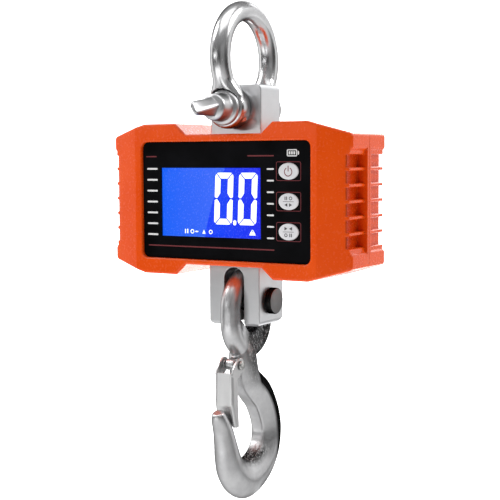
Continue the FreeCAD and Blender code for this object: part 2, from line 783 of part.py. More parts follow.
# The web that fills the foot of the eye, as (Y, Z) corners.
CROTCH = [(-15, -82), (-10.5, -86.5), (-5.5, -91.5), (-1, -93.5), (4, -92),
          (9.5, -87.5), (15, -81), (15, -97), (0, -104), (-15, -97)]


def hook():
    sections = []
    for (y, z), half_width, half_depth, (head_y, head_z) in HOOK:
        section = doc.addObject("Part::Ellipse", "hook_section")
        section.MajorRadius = half_depth
        section.MinorRadius = half_width
        heading = Vector(0, head_y, head_z)
        outward = heading.cross(Vector(1, 0, 0))
        turn = Rotation(outward, heading.cross(outward), heading, "ZXY")
        section.Placement = Placement(Vector(0, y, z), turn)
        sections.append(section)
    forging = doc.addObject("Part::Loft", "hook_forging")
    forging.Sections = sections
    forging.Solid = True
    pieces = [forging]
    for half_turn, height in ((0, "eye_top"), (180, "eye_bottom")):
        bend = doc.addObject("Part::Torus", "eye_bend")
        bind(bend, "Radius1", "eye_radius")
        bind(bend, "Radius2", "eye_bar")
        bend.Angle3 = 180
        flip = Rotation(Vector(1, 0, 0), half_turn)
        bend.Placement = Placement(Vector(), flip * Rotation(Vector(1, 1, 1), 120))
        pieces.append(place(bend, 0, 0, height))
    for side in (-1, 1):
        pieces.append(rod("Z", (0, f"{side} * eye_radius"), "eye_bar", "eye_bottom", "eye_top"))
    crotch = doc.addObject("PartDesign::Body", "eye_crotch")
    grow(crotch, "YZ", [CROTCH], -5.2, 5.2)
    lug = block((-3.5, 3.5), (-18, -8), ("latch_z - 5", "latch_z + 4"))
    nose = rod("X", ("latch_y", "latch_z"), 4, -3.5, 3.5)
    web = block((-3.5, 3.5), ("latch_y", -8), ("latch_z - 4", "latch_z + 4"))
    bore = rod("X", ("latch_y", "latch_z"), "latch_pin_radius", -5, 5)
    publish(without(fused(*pieces, crotch, lug, web, nose), bore), "hook")


def latch_pin():
    centre = ("latch_y", "latch_z")
    shank = rod("X", centre, "latch_pin_radius", "-latch_half - 1", "latch_half + 1")
    heads = [rod("X", centre, "latch_pin_radius + 1.2", "latch_half + 0.3", "latch_half + 1.5"),
             rod("X", centre, "latch_pin_radius + 1.2", "-latch_half - 1.5", "-latch_half - 0.3")]
    publish(fused(shank, *heads), "latch_pin")


def latch():
    """A pressed steel channel: two flanges with pivot ears and a front web dished at its foot."""
    body = new_body("latch")
    ear = ("circle", "latch_y", "latch_z", 5)
    grow(body, "YZ", [ear], "-latch_half", "latch_half")
    flange = [
        (-31, -118.5), (-30.8, -140), (-27.1, -155.5), (-23.1, -155.5),
        (-24.4, -122), (-16.5, -116.9), ("latch_y", "latch_z"), (-24.2, -110.6),
    ]
    grow(body, "YZ", [flange], "-latch_half", "latch_half")
    inside = "latch_half - latch_sheet"
    cut(body, "YZ", [rectangle(-40, -160, -10, -100)], f"-({inside})", inside)
    web = [
        (-31, -118.5), (-30.8, -140), (-27.1, -155.5), (-23.1, -155.5),
        (-28.2, -144.5), (-29.3, -140), (-29.5, -118.5),
    ]
    grow(body, "YZ", [web], "-latch_half", "latch_half")
    dish = [(-33, -144.5), (-29.73, -144.5), (-24.6, -155.5), (-24.6, -157), (-33, -157)]
    cut(body, "YZ", [dish], -5.4, 5.4)
    cut(body, "YZ", [("circle", "latch_y", "latch_z", "latch_pin_radius + running_fit")], -12, 12)


def latch_spring():
    """The coils of the latch's spring, one each side of the hook's lug."""
    centre = ("latch_y", "latch_z")
    coils = [tube("X", centre, "latch_pin_radius + 0.4", "latch_pin_radius + 1.6", *ends)
             for ends in ((3.9, 5.7), (-5.7, -3.9))]
    publish(gathered(*coils), "latch_spring")


# ---- battery and leads ----

def battery():
    tray = block(("tray_left", "tray_right"), ("tray_front", "tray_back"), ("-tray_half", "tray_half"))
    inside = block(("tray_left + tray_wall", "tray_right - tray_wall"),
                   ("tray_front + tray_wall", "tray_back + 1"),
                   ("-tray_half + tray_wall", "tray_half - tray_wall"))
    publish(without(tray, inside), "battery_tray")
    middle = "(tray_left + tray_right) / 2"
    cells = []
    for step in (-1, 0, 1):
        centre = (f"{middle} + {step} * cell_pitch", "tray_front + tray_wall + cell_radius + 0.2")
        can = rod("Z", centre, "cell_radius", "-25", "24.5")
        nub = rod("Z", centre, "2.7", "24", "26")
        cells.append(fused(can, nub))
    publish(gathered(*cells), "battery_cells")


def battery_door():
    door = block(("door_left", "door_right"), ("half_depth - door_sheet", "half_depth"),
                 ("-door_half", "door_half"))
    middle = "(door_left + door_right) / 2"
    hole = rod("Y", (middle, "door_half - 2.5"), 1.25, "rear_cavity - 1", "half_depth + 1")
    grips = [block((f"{middle} - 8", f"{middle} + 8"), ("half_depth - 0.7", "half_depth + 1"),
                   (f"{3 * i} - 20.6", f"{3 * i} - 19.4")) for i in range(4)]
    publish(without(door, hole, *grips), "battery_door")
    shank = rod("Y", (middle, "door_half - 2.5"), 1.2, "half_depth - door_sheet", "half_depth + 0.1")
    head = rod("Y", (middle, "door_half - 2.5"), 2.4, "half_depth", "half_depth + 1")
    publish(fused(shank, head), "door_screw")


def lead(label, route, radius):
    """A round wire: straight runs joined by tangent arcs as large as the runs allow."""
    points = [Vector(*point) for point in route]
    edges = []
    begin = points[0]
    for before, corner, after in zip(points, points[1:], points[2:]):
        back = (before - corner).normalize()
        onward = (after - corner).normalize()
        trim = 0.45 * min((before - corner).Length, (after - corner).Length)
        enter = corner + back * trim
        leave = corner + onward * trim
        half_turn = (math.pi - back.getAngle(onward)) / 2
        bisector = (back + onward).normalize()
        bend = trim / math.tan(half_turn)
        crown = corner + bisector * (bend / math.cos(half_turn) - bend)
        edges.append(Part.LineSegment(begin, enter).toShape())
        edges.append(Part.Arc(enter, crown, leave).toShape())
        begin = leave
    edges.append(Part.LineSegment(begin, points[-1]).toShape())
    path = Part.Wire(edges)
    ring = Part.Wire(Part.Circle(points[0], points[1] - points[0], radius).toShape())
    feature = doc.addObject("Part::Feature", label)
    feature.Shape = path.makePipeShell([ring], True, False)
    publish(feature, label)


def leads():
    end_x = number("lead_x")
    lead("load_cell_lead",
         [(-25, 0, 2), (-32, 0, 2), (-38, -4, 1.6), (end_x, -10, 1), (end_x, -18, 1)], 1.2)
    lead("battery_lead",
         [(-55, 15, 28), (-55, 15, 33), (-54, 5, 36.5), (-53, -5, 36), (-52, -11, 31), (-52, -18, 31)], 1.0)


front_cover()
rear_cover()
cover_gasket()
cover_screws()
panel_overlay()
display_stack()
keys()
tact_switches()
main_board()
board_components()
upper_block()
lower_block()
load_cell()
studs()
lock_nuts()
clevis_pin()
shackle_bow()
shackle_pin()
hook()
latch_pin()
latch()
latch_spring()
battery()
battery_door()
leads()
doc.recompute()

for thing in doc.Objects:
    if set(thing.State) & {"Invalid", "Error"}:
        raise RuntimeError(f"{thing.Name} is {thing.State}")
for node in nodes:
    if node.Shape.isNull() or not node.Shape.isValid() or not node.Shape.Solids:
        raise RuntimeError(f"{node.Label} has no sound shape")

os.makedirs("parts", exist_ok=True)
for node in nodes:
    node.Shape.exportStep(f"parts/{node.Label}.step")
    print(node.Label, len(node.Shape.Solids), round(node.Shape.Volume), node.Shape.BoundBox)
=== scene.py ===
import math

import bmesh
import bpy
from mathutils import Matrix, Vector


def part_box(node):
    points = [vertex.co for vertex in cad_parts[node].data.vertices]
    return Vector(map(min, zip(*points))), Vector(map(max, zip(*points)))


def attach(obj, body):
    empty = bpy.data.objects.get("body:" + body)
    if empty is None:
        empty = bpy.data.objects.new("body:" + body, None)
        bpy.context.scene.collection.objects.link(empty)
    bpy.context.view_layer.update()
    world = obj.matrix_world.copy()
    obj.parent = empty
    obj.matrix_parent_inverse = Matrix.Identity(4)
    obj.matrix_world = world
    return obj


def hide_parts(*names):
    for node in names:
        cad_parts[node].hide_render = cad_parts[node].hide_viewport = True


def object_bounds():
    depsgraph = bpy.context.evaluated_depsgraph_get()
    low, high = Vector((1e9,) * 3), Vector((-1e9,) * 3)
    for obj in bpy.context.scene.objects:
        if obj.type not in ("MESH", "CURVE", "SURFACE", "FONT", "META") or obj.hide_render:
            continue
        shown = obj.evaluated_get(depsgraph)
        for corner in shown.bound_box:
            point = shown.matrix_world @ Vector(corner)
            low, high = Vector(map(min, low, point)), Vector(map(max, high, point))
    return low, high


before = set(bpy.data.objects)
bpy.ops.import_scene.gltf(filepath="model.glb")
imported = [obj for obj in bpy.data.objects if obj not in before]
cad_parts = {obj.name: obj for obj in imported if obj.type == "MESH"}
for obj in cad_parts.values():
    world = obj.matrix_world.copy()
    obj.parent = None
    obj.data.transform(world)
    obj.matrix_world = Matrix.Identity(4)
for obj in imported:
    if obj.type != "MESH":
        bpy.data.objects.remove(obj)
cad_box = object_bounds()

# Sizes are in millimetres about the middle of the housing; point() turns them into the
# frame's metres.
MM = 0.001
low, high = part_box("front_cover")
HOUSING = Vector((0, 0, (low.z + high.z) / 2))


def point(x, y, z):
    return HOUSING + Vector((x, y, z)) * MM


# ---- materials ----

class Surface:
    """A material's node graph, laid over the object's own coordinates in millimetres."""

    def __init__(self, name):
        self.material = bpy.data.materials.new(name)
        self.material.use_nodes = True
        self.tree = self.material.node_tree
        self.tree.nodes.clear()
        self.shader = self.node("ShaderNodeBsdfPrincipled")
        self.node("ShaderNodeOutputMaterial", Surface=self.shader.outputs[0])
        place = self.node("ShaderNodeTexCoord").outputs["Object"]
        self.place = self.node("ShaderNodeVectorMath", "SCALE", Vector=place,
                               Scale=1 / MM).outputs[0]

    def node(self, kind, operation=None, **sockets):
        made = self.tree.nodes.new(kind)
        if operation:
            made.operation = operation
        for name, value in sockets.items():
            self.feed(made.inputs[name.replace("_", " ")], value)
        return made

    def feed(self, socket, value):
        if isinstance(value, bpy.types.NodeSocket):
            self.tree.links.new(value, socket)
        else:
            socket.default_value = value

    def set(self, **sockets):
        for name, value in sockets.items():
            self.feed(self.shader.inputs[name.replace("_", " ")], value)

    def noise(self, scale, detail=4.0, roughness=0.55, stretch=(1, 1, 1)):
        where = self.node("ShaderNodeVectorMath", "MULTIPLY", Vector=self.place).outputs[0]
        where.node.inputs[1].default_value = stretch
        return self.node("ShaderNodeTexNoise", Vector=where, Scale=scale, Detail=detail,
                         Roughness=roughness).outputs["Fac"]

    def spread(self, value, low, high, start=0.3, end=0.7):
        """Maps a noise value from start..end onto low..high."""
        made = self.node("ShaderNodeMapRange", Value=value)
        made.inputs["From Min"].default_value = start
        made.inputs["From Max"].default_value = end
        made.inputs["To Min"].default_value = low
        made.inputs["To Max"].default_value = high
        return made.outputs[0]

    def mix(self, first, second, share):
        made = self.tree.nodes.new("ShaderNodeMix")
        made.data_type = "RGBA"
        self.feed(made.inputs[0], share)
        self.feed(made.inputs[6], first)
        self.feed(made.inputs[7], second)
        return made.outputs[2]

    def maths(self, operation, first, second=0.0):
        made = self.tree.nodes.new("ShaderNodeMath")
        made.operation = operation
        self.feed(made.inputs[0], first)
        self.feed(made.inputs[1], second)
        return made.outputs[0]

    def axis(self, name):
        return self.node("ShaderNodeSeparateXYZ", Vector=self.place).outputs[name]

    def bump(self, height, strength, distance, normal=None):
        made = self.node("ShaderNodeBump", Height=height, Strength=strength, Distance=distance * MM)
        if normal is not None:
            self.feed(made.inputs["Normal"], normal)
        return made.outputs[0]

    def rounded(self, radius):
        """A normal that softens edges sharper than the mesh's own rounding."""
        made = self.node("ShaderNodeBevel", Radius=radius * MM)
        made.samples = 6
        return made.outputs[0]

    def edges(self, radius):
        """A mask that is near 1 on convex and concave edges."""
        true = self.node("ShaderNodeNewGeometry").outputs["Normal"]
        dot = self.node("ShaderNodeVectorMath", "DOT_PRODUCT", Vector=self.rounded(radius))
        self.tree.links.new(true, dot.inputs[1])
        return self.spread(dot.outputs["Value"], 1.0, 0.0, 0.86, 0.995)


def colour(red, green, blue):
    return (red, green, blue, 1.0)


def plastic(name, base, worn, roughness, grain, bevel=0.6, gloss=0.4):
    """A moulded plastic with a fine grain, faint cloudiness and rubbed edges."""
    s = Surface(name)
    cloud = s.spread(s.noise(0.035, 3), 0.0, 0.35)
    tint = s.mix(base, worn, cloud)
    rub = s.maths("MULTIPLY", s.edges(0.9), s.spread(s.noise(0.35, 5), 0.05, 0.55))
    s.set(Base_Color=s.mix(tint, worn, rub))
    s.set(Roughness=s.spread(s.noise(0.6, 5), roughness - 0.05, roughness + 0.07))
    fine = s.bump(s.noise(grain, 2), 0.14, 0.015, s.rounded(bevel))
    s.set(Normal=fine, Specular_IOR_Level=gloss)
    return s.material


def metal(name, base, dark, roughness, spread, grain, depth, stretch=(1, 1, 1), bevel=0.5,
          stain=0.5, fleck=0.35):
    """A metal with stains, machining or forging grain, and brighter edges."""
    s = Surface(name)
    patch = s.spread(s.noise(0.09, 6, 0.6), 0.0, stain)
    specks = s.spread(s.noise(1.3, 6, 0.65, stretch), 0.0, fleck)
    tint = s.mix(s.mix(base, dark, patch), dark, specks)
    lit = tuple(min(1.0, c * 1.18) for c in base[:3]) + (1.0,)
    s.set(Base_Color=s.mix(tint, lit, s.maths("MULTIPLY", s.edges(0.5), 0.6)), Metallic=1.0)
    s.set(Specular_Tint=colour(0.12, 0.12, 0.12))
    s.set(Roughness=s.spread(s.noise(0.5, 6, 0.6, stretch), roughness - spread, roughness + spread))
    s.set(Normal=s.bump(s.noise(grain, 5, 0.6, stretch), 0.5, depth, s.rounded(bevel)))
    return s.material


def forged_steel():
    """Zinc over a forging: mottled, with painted shade in the neck and the outer heel, a darker
    bowl, and a painted dark band of shade round the outer back."""
    s = Surface("forged_zinc")
    y = s.axis("Y")
    z = s.maths("ADD", s.axis("Z"), -HOUSING.z / MM)
    # Masks for the darkening: painted shade in the neck and at the outer heel, and a darker bowl.
    neck = s.maths("MULTIPLY", s.spread(z, 0, 1, -84, -92), s.spread(z, 1, 0, -112, -134))
    neck = s.maths("MULTIPLY", neck, s.spread(y, 0, 1, -13, -6))

    def reach_from(middle_y, middle_z):
        """The distance from a point in the hook's own plane."""
        across = s.maths("POWER", s.maths("ADD", y, -middle_y), 2)
        up = s.maths("POWER", s.maths("ADD", z, -middle_z), 2)
        return s.maths("POWER", s.maths("ADD", across, up), 0.5)

    reach = reach_from(0, -167)
    heel = s.maths("MULTIPLY", s.spread(reach, 0, 1, 32, 37), s.spread(y, 0, 1, 2, 12))
    bowl = s.maths("MULTIPLY", s.spread(reach, 1, 0, 17, 22), s.spread(z, 1, 0, -181, -174))
    # worn and scale hold this darkening, broken up by noise; in the neck and at the heel it is
    # painted shade.
    worn = s.maths("MAXIMUM", s.maths("MULTIPLY", neck, 0.9), s.maths("MAXIMUM", heel, bowl))
    scale = s.maths("MULTIPLY", worn, s.spread(s.noise(0.75, 6, 0.62, (1, 1, 0.7)), 0, 1, 0.3, 0.5))
    # Painted shade: a dark band round the outer back.
    outer = s.spread(reach_from(-24, -172), 0, 1, 49, 51.5)
    painted_shade_rim = s.maths("MULTIPLY", outer, s.spread(y, 0, 1, -2, 4))
    painted_shade_rim = s.maths("MULTIPLY", painted_shade_rim, s.spread(z, 0, 1, -194, -180))
    painted_shade_rim = s.maths("MULTIPLY", painted_shade_rim, s.spread(z, 1, 0, -120, -108))
    scale = s.maths("MAXIMUM", scale, painted_shade_rim)
    mottle = s.spread(s.noise(0.11, 6, 0.6), 0.0, 0.55)
    tint = s.mix(colour(0.68, 0.68, 0.685), colour(0.44, 0.44, 0.45), mottle)
    tint = s.mix(tint, colour(0.75, 0.75, 0.75), s.maths("MULTIPLY", s.edges(0.5), 0.6))
    # The painted shade and the darker bowl turn the colour nearly black.
    s.set(Base_Color=s.mix(tint, colour(0.035, 0.035, 0.035), scale), Metallic=1.0)
    s.set(Specular_Tint=colour(0.12, 0.12, 0.12))
    s.set(Roughness=s.spread(s.noise(0.5, 6, 0.6), 0.3, 0.44))
    # The bump also follows the painted shade and the darker bowl.
    hammering_and_darkening_height = s.maths("ADD", s.maths("MULTIPLY", s.noise(0.55, 5, 0.6, (1, 1, 0.7)), 0.25), scale)
    s.set(Normal=s.bump(hammering_and_darkening_height, 0.6, 0.5, s.rounded(0.3)))
    return s.material


def lcd_screen():
    """The lit display: bright blue, with a painted reflection that makes it paler left of a soft
    diagonal edge.
    """
    s = Surface("lcd_screen")
    x = s.axis("X")
    z = s.maths("ADD", s.axis("Z"), -HOUSING.z / MM)
    rise = s.maths("MULTIPLY", z, 0.36)
    bend = s.maths("MULTIPLY", s.maths("MULTIPLY", z, z), 0.0035)
    edge = s.maths("ADD", s.maths("ADD", rise, bend), -9.4)
    beyond = s.maths("SUBTRACT", x, edge)
    # Painted reflection: the blue is paler left of the diagonal edge, and darker further right.
    left = s.mix(colour(0.007, 0.13, 1.0), colour(0.045, 0.15, 1.0), s.spread(x, 0, 1, -50, -8))
    right = s.mix(colour(0.007, 0.055, 1.0), colour(0.01, 0.018, 0.92), s.spread(x, 0, 1, -4, 28))
    glow_with_painted_reflection = s.mix(left, right, s.spread(beyond, 0, 1, -0.5, 0.5))
    glow_reflection_and_specks = s.mix(glow_with_painted_reflection, colour(0.0, 0.03, 0.7), s.spread(s.noise(3.0, 2), 0.0, 0.08))
    s.set(Base_Color=colour(0.004, 0.01, 0.05), Emission_Color=glow_reflection_and_specks, Emission_Strength=0.92)
    s.set(Roughness=s.spread(s.noise(0.8), 0.2, 0.3))
    return s.material


def lit_mark():
    s = Surface("lit_mark")
    tone = s.mix(colour(0.86, 0.9, 1.0), colour(0.72, 0.79, 1.0), s.spread(s.noise(0.5), 0, 1))
    s.set(Base_Color=colour(0.8, 0.8, 0.8), Emission_Color=tone, Emission_Strength=0.86)
    s.set(Roughness=s.spread(s.noise(2.0), 0.35, 0.5))
    return s.material


def ink(name, base, worn):
    """A printed mark, a little uneven where the ink is thin."""
    s = Surface(name)
    s.set(Base_Color=s.mix(base, worn, s.spread(s.noise(2.2, 5), 0, 0.6)))
    s.set(Roughness=s.spread(s.noise(1.5), 0.38, 0.55))
    s.set(Normal=s.bump(s.noise(6.0), 0.2, 0.02))
    return s.material


def clear_window():
    s = Surface("clear_window")
    s.set(Base_Color=colour(0.97, 0.98, 1.0), Transmission_Weight=1.0, IOR=1.08)
    s.set(Roughness=s.spread(s.noise(0.2), 0.0, 0.02, 0.4, 0.8))
    return s.material


def circuit_board():
    s = Surface("circuit_board")
    tracks = s.spread(s.noise(0.9, 1, 0.4, (1, 1, 0.15)), 0, 1, 0.52, 0.56)
    s.set(Base_Color=s.mix(colour(0.01, 0.13, 0.04), colour(0.03, 0.25, 0.08), tracks))
    s.set(Roughness=s.spread(s.noise(0.7), 0.25, 0.4), Normal=s.bump(tracks, 0.3, 0.04))
    return s.material


def black_panel():
    s = Surface("black_panel")
    s.set(Base_Color=s.mix(colour(0.0022, 0.0022, 0.0024), colour(0.005, 0.005, 0.006),
                           s.spread(s.noise(0.05), 0, 1)))
    s.set(Roughness=s.spread(s.noise(0.3, 6), 0.3, 0.42), Specular_IOR_Level=0.02)
    s.set(Normal=s.bump(s.noise(0.9, 3), 0.12, 0.03, s.rounded(0.3)))
    return s.material


ORANGE = plastic("orange_abs", colour(0.67, 0.06, 0.001), colour(0.8, 0.1, 0.006),
                 roughness=0.24, grain=2.0, bevel=0.9, gloss=0.27)
BLACK_PLASTIC = plastic("black_plastic", colour(0.012, 0.012, 0.013), colour(0.04, 0.04, 0.04),
                        roughness=0.4, grain=4.0)
RUBBER = plastic("black_rubber", colour(0.015, 0.015, 0.015), colour(0.05, 0.05, 0.05),
                 roughness=0.65, grain=3.0)
KEY_GREY = plastic("key_grey", colour(0.62, 0.62, 0.64), colour(0.72, 0.72, 0.73),
                   roughness=0.42, grain=7.0, bevel=0.3)
SLEEVE = plastic("battery_sleeve", colour(0.05, 0.07, 0.25), colour(0.2, 0.22, 0.4),
                 roughness=0.3, grain=3.0)
POLISHED = metal("polished_steel", colour(0.66, 0.66, 0.67), colour(0.5, 0.5, 0.5),
                 roughness=0.24, spread=0.04, grain=0.9, depth=0.02, stretch=(1, 1, 0.3),
                 bevel=0.6, stain=0.35)
MACHINED = metal("machined_alloy", colour(0.74, 0.745, 0.755), colour(0.6, 0.61, 0.62),
                 roughness=0.34, spread=0.03, grain=2.6, depth=0.012, stretch=(0.3, 0.3, 1.6),
                 stain=0.4, fleck=0.12)
PIN_STEEL = metal("pin_steel", colour(0.6, 0.6, 0.61), colour(0.42, 0.42, 0.42),
                  roughness=0.36, spread=0.04, grain=1.1, depth=0.012, stain=0.4, fleck=0.15)
FORGED = forged_steel()
SHEET = metal("pressed_sheet", colour(0.74, 0.74, 0.74), colour(0.6, 0.6, 0.6),
              roughness=0.42, spread=0.05, grain=1.6, depth=0.012, stretch=(1.6, 1, 0.1),
              bevel=0.3, stain=0.35, fleck=0.2)
ZINC = metal("zinc_plate", colour(0.62, 0.62, 0.6), colour(0.45, 0.45, 0.44),
             roughness=0.28, spread=0.08, grain=1.5, depth=0.03)
SPRING = metal("spring_wire", colour(0.5, 0.5, 0.5), colour(0.3, 0.3, 0.3),
               roughness=0.3, spread=0.08, grain=2.5, depth=0.02)
BLACK_OXIDE = metal("black_oxide", colour(0.02, 0.02, 0.02), colour(0.008, 0.008, 0.008),
                    roughness=0.32, spread=0.08, grain=1.4, depth=0.03)
GROUND_FACE = metal("ground_face", colour(0.3, 0.3, 0.3), colour(0.24, 0.24, 0.24),
                    roughness=0.45, spread=0.08, grain=2.0, depth=0.02)
BRASS = metal("brass", colour(0.75, 0.55, 0.22), colour(0.5, 0.34, 0.12),
              roughness=0.25, spread=0.07, grain=1.5, depth=0.02)
SCREEN = lcd_screen()
LIT = lit_mark()
WHITE_INK = ink("white_ink", colour(0.75, 0.75, 0.75), colour(0.55, 0.55, 0.55))
RED_INK = ink("red_ink", colour(0.16, 0.012, 0.018), colour(0.09, 0.008, 0.012))
DARK_INK = ink("dark_ink", colour(0.035, 0.033, 0.035), colour(0.09, 0.085, 0.09))
CRIMSON_INK = ink("crimson_ink", colour(0.14, 0.012, 0.02), colour(0.22, 0.05, 0.06))

CAD_FINISH = {
    ORANGE: ["front_cover", "rear_cover", "battery_door"],
    RUBBER: ["cover_gasket", "load_cell_lead", "battery_lead"],
    black_panel(): ["panel_overlay"],
    clear_window(): ["display_window"],
    SCREEN: ["lcd_glass"],
    KEY_GREY: ["backlight"],
    circuit_board(): ["main_board"],
    BLACK_PLASTIC: ["board_components", "tact_switches", "battery_tray"],
    BRASS: ["board_posts"],
    MACHINED: ["upper_block", "lower_block", "load_cell"],
    ZINC: ["upper_stud", "lower_stud", "lock_nuts", "pin_washer", "pin_ring", "cover_screws",
           "board_screws", "door_screw"],
    SLEEVE: ["battery_cells"],
}
for finish, names in CAD_FINISH.items():
    for name in names:
        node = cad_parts[name]
        node.data.materials.clear()
        node.data.materials.append(finish)


# ---- mesh helpers ----

def piece(name, mesh, body, slot, finish, *stands_for, smooth=True, sharp=40):
    """Turns a bmesh into a piece that rides on a body and may stand for CAD nodes."""
    bmesh.ops.recalc_face_normals(mesh, faces=mesh.faces)
    data = bpy.data.meshes.new(name)
    mesh.to_mesh(data)
    mesh.free()
    made = bpy.data.objects.new(name, data)
    bpy.context.scene.collection.objects.link(made)
    data.materials.append(finish)
    if smooth:
        data.shade_smooth()
        data.set_sharp_from_angle(angle=math.radians(sharp))
    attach(made, body)
    if stands_for:
        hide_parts(*stands_for)
    return made


def skin(mesh, rings, closed=False, caps=True):
    """Joins rings of equal length into a tube."""
    rows = [[mesh.verts.new(spot) for spot in ring] for ring in rings]
    pairs = list(zip(rows, rows[1:])) + ([(rows[-1], rows[0])] if closed else [])
    for first, second in pairs:
        count = len(first)
        for i in range(count):
            j = (i + 1) % count
            mesh.faces.new((first[i], first[j], second[j], second[i]))
    if caps and not closed:
        mesh.faces.new(rows[0])
        mesh.faces.new(rows[-1])
    return mesh


def revolve(mesh, profile, place, count=64):
    """Spins (along, radius) points; place(along, out, up) puts them in the frame."""
    turns = [2 * math.pi * i / count for i in range(count)]
    rings = [[place(along, radius * math.cos(t), radius * math.sin(t)) for t in turns]
             for along, radius in profile]
    return skin(mesh, rings)


def superoval(count, power):
    """A unit superellipse: power 2 is a circle and higher powers are squarer."""
    spots = []
    for i in range(count):
        t = 2 * math.pi * i / count
        c, s = math.cos(t), math.sin(t)
        spots.append((math.copysign(abs(c) ** (2 / power), c),
                      math.copysign(abs(s) ** (2 / power), s)))
    return spots


def curve_through(stations, steps):
    """A smooth Catmull-Rom run through lists of numbers, with steps between neighbours."""
    padded = [stations[0]] + stations + [stations[-1]]
    run = []
    for a, b, c, d in zip(padded, padded[1:], padded[2:], padded[3:]):
        for i in range(steps):
            t = i / steps
            run.append([0.5 * (2 * q + (r - p) * t + (2 * p - 5 * q + 4 * r - s) * t * t
                               + (3 * q - p - 3 * r + s) * t ** 3)
                        for p, q, r, s in zip(a, b, c, d)])
    return run + [list(stations[-1])]


# ---- flat printed marks ----

class Print:
    """Flat marks on a face that looks along -Y, each a thin prism standing proud of it."""

    def __init__(self, face, depth=0.05):
        self.mesh = bmesh.new()
        self.face = face
        self.depth = depth

    def shape(self, outline):
        self.ring(outline, None)

    def ring(self, outline, hole):
        loops = []
        for y in (self.face, self.face - self.depth):
            loops.append([[self.mesh.verts.new(point(x, y, z)) for x, z in loop]
                          for loop in (outline, hole) if loop])
        for back, front in zip(*loops):
            for i in range(len(back)):
                j = (i + 1) % len(back)
                self.mesh.faces.new((back[i], back[j], front[j], front[i]))
        for side in loops:
            if hole is None:
                self.mesh.faces.new(side[0])
                continue
            outer, inner = side
            for i in range(len(outer)):
                j = (i + 1) % len(outer)
                self.mesh.faces.new((outer[i], outer[j], inner[j], inner[i]))

    def bar(self, x0, z0, x1, z1, half):
        """A straight stroke with round ends."""
        self.shape(capsule(x0, z0, x1, z1, half))

    def frame(self, left, bottom, right, top, corner, line):
        inner = max(corner - line, 0.05)
        self.ring(rounded_box(left, bottom, right, top, corner),
                  rounded_box(left + line, bottom + line, right - line, top - line, inner))

    def arc(self, x, z, radius, line, start, end, steps=28):
        """An open or closed ring stroke, from start to end degrees."""
        for i in range(steps):
            a = math.radians(start + (end - start) * i / steps)
            b = math.radians(start + (end - start) * (i + 1) / steps)
            near, far = radius - line / 2, radius + line / 2
            self.shape([(x + far * math.cos(a), z + far * math.sin(a)),
                        (x + far * math.cos(b), z + far * math.sin(b)),
                        (x + near * math.cos(b), z + near * math.sin(b)),
                        (x + near * math.cos(a), z + near * math.sin(a))])

    def finish(self, name, body, slot, material, *stands_for):
        bmesh.ops.remove_doubles(self.mesh, verts=self.mesh.verts, dist=1e-7)
        return piece(name, self.mesh, body, slot, material, *stands_for, smooth=False)


def capsule(x0, z0, x1, z1, half, steps=8):
    along = math.atan2(z1 - z0, x1 - x0)
    spots = []
    for (x, z), turn in (((x1, z1), -math.pi / 2), ((x0, z0), math.pi / 2)):
        for i in range(steps + 1):
            t = along + turn + math.pi * i / steps
            spots.append((x + half * math.cos(t), z + half * math.sin(t)))
    return spots


def rounded_box(left, bottom, right, top, corner, steps=6):
    spots = []
    for x, z, turn in ((right - corner, top - corner, 0), (left + corner, top - corner, 90),
                       (left + corner, bottom + corner, 180),
                       (right - corner, bottom + corner, 270)):
        for i in range(steps + 1):
            t = math.radians(turn + 90 * i / steps)
            spots.append((x + corner * math.cos(t), z + corner * math.sin(t)))
    return spots


PANEL_FACE = -28.8
GLASS_FACE = -27.3
KEY_X = 49.8
KEY_HEIGHTS = {"power": 19.6, "hold": -0.2, "tare": -20.0}


def panel_print():
    """White tick rows, dark red lines and key frames, and a battery mark."""
    ticks = Print(PANEL_FACE)
    for i in range(7):
        z = 21.0 - 7.6 * i
        ticks.bar(-62.6, z, -54.9, z, 0.62)
        ticks.bar(34.0, z, 38.3, z, 0.55)
    ticks.finish("panel_ticks", "scale_body", "key_grey", WHITE_INK)
    lines = Print(PANEL_FACE)
    for x0, x1, z in ((-63.6, -55.4, 29.5), (19.0, 38.4, 29.7), (-62.2, 38.6, -32.3)):
        lines.bar(x0, z, x1, z, 0.42)
    for z in KEY_HEIGHTS.values():
        lines.frame(40.5, z - 6.3, 59.0, z + 6.3, 1.3, 0.42)
    lines.finish("panel_lines", "scale_body", "black_panel", RED_INK)
    mark = Print(PANEL_FACE)
    mark.frame(48.6, 29.2, 56.2, 33.8, 0.9, 0.7)
    mark.bar(57.1, 30.7, 57.1, 32.3, 0.45)
    for i in range(3):
        mark.shape(rounded_box(50.0 + 1.75 * i, 30.5, 51.2 + 1.75 * i, 32.5, 0.2))
    mark.finish("panel_battery_mark", "scale_body", "key_grey", WHITE_INK)


def digit_zero(marks, left, slant):
    """The six lit bars of a seven-bar zero, with thin dark gaps at its mitred corners."""
    width, tall, thick, gap = 14.4, 35.0, 4.3, 0.34
    top, bottom = 18.5, 18.5 - tall
    middle = (top + bottom) / 2

    def lean(spots):
        return [(left + x + slant * (z - top), z) for x, z in spots]

    for flip in (False, True):
        upright = [
            (0, middle + 1.2), (0, top - 2.2), (0.9, top - 0.9), (thick, top - thick - gap),
            (thick, middle + 3.6), (thick - 2.2, middle + gap * 1.6), (1.1, middle + 0.4),
        ]
        lower = [(x, 2 * middle - z) for x, z in reversed(upright)]
        across = [(1.4, top - 0.4), (2.3, top), (width - 2.3, top), (width - 1.4, top - 0.4),
                  (width - thick - gap, top - thick + gap), (thick + gap, top - thick + gap)]
        if flip:
            across = [(x, 2 * middle - z) for x, z in across]
        for outline in (upright, lower):
            marks.shape(lean([(width - x if flip else x, z) for x, z in outline]))
        marks.shape(lean(across))


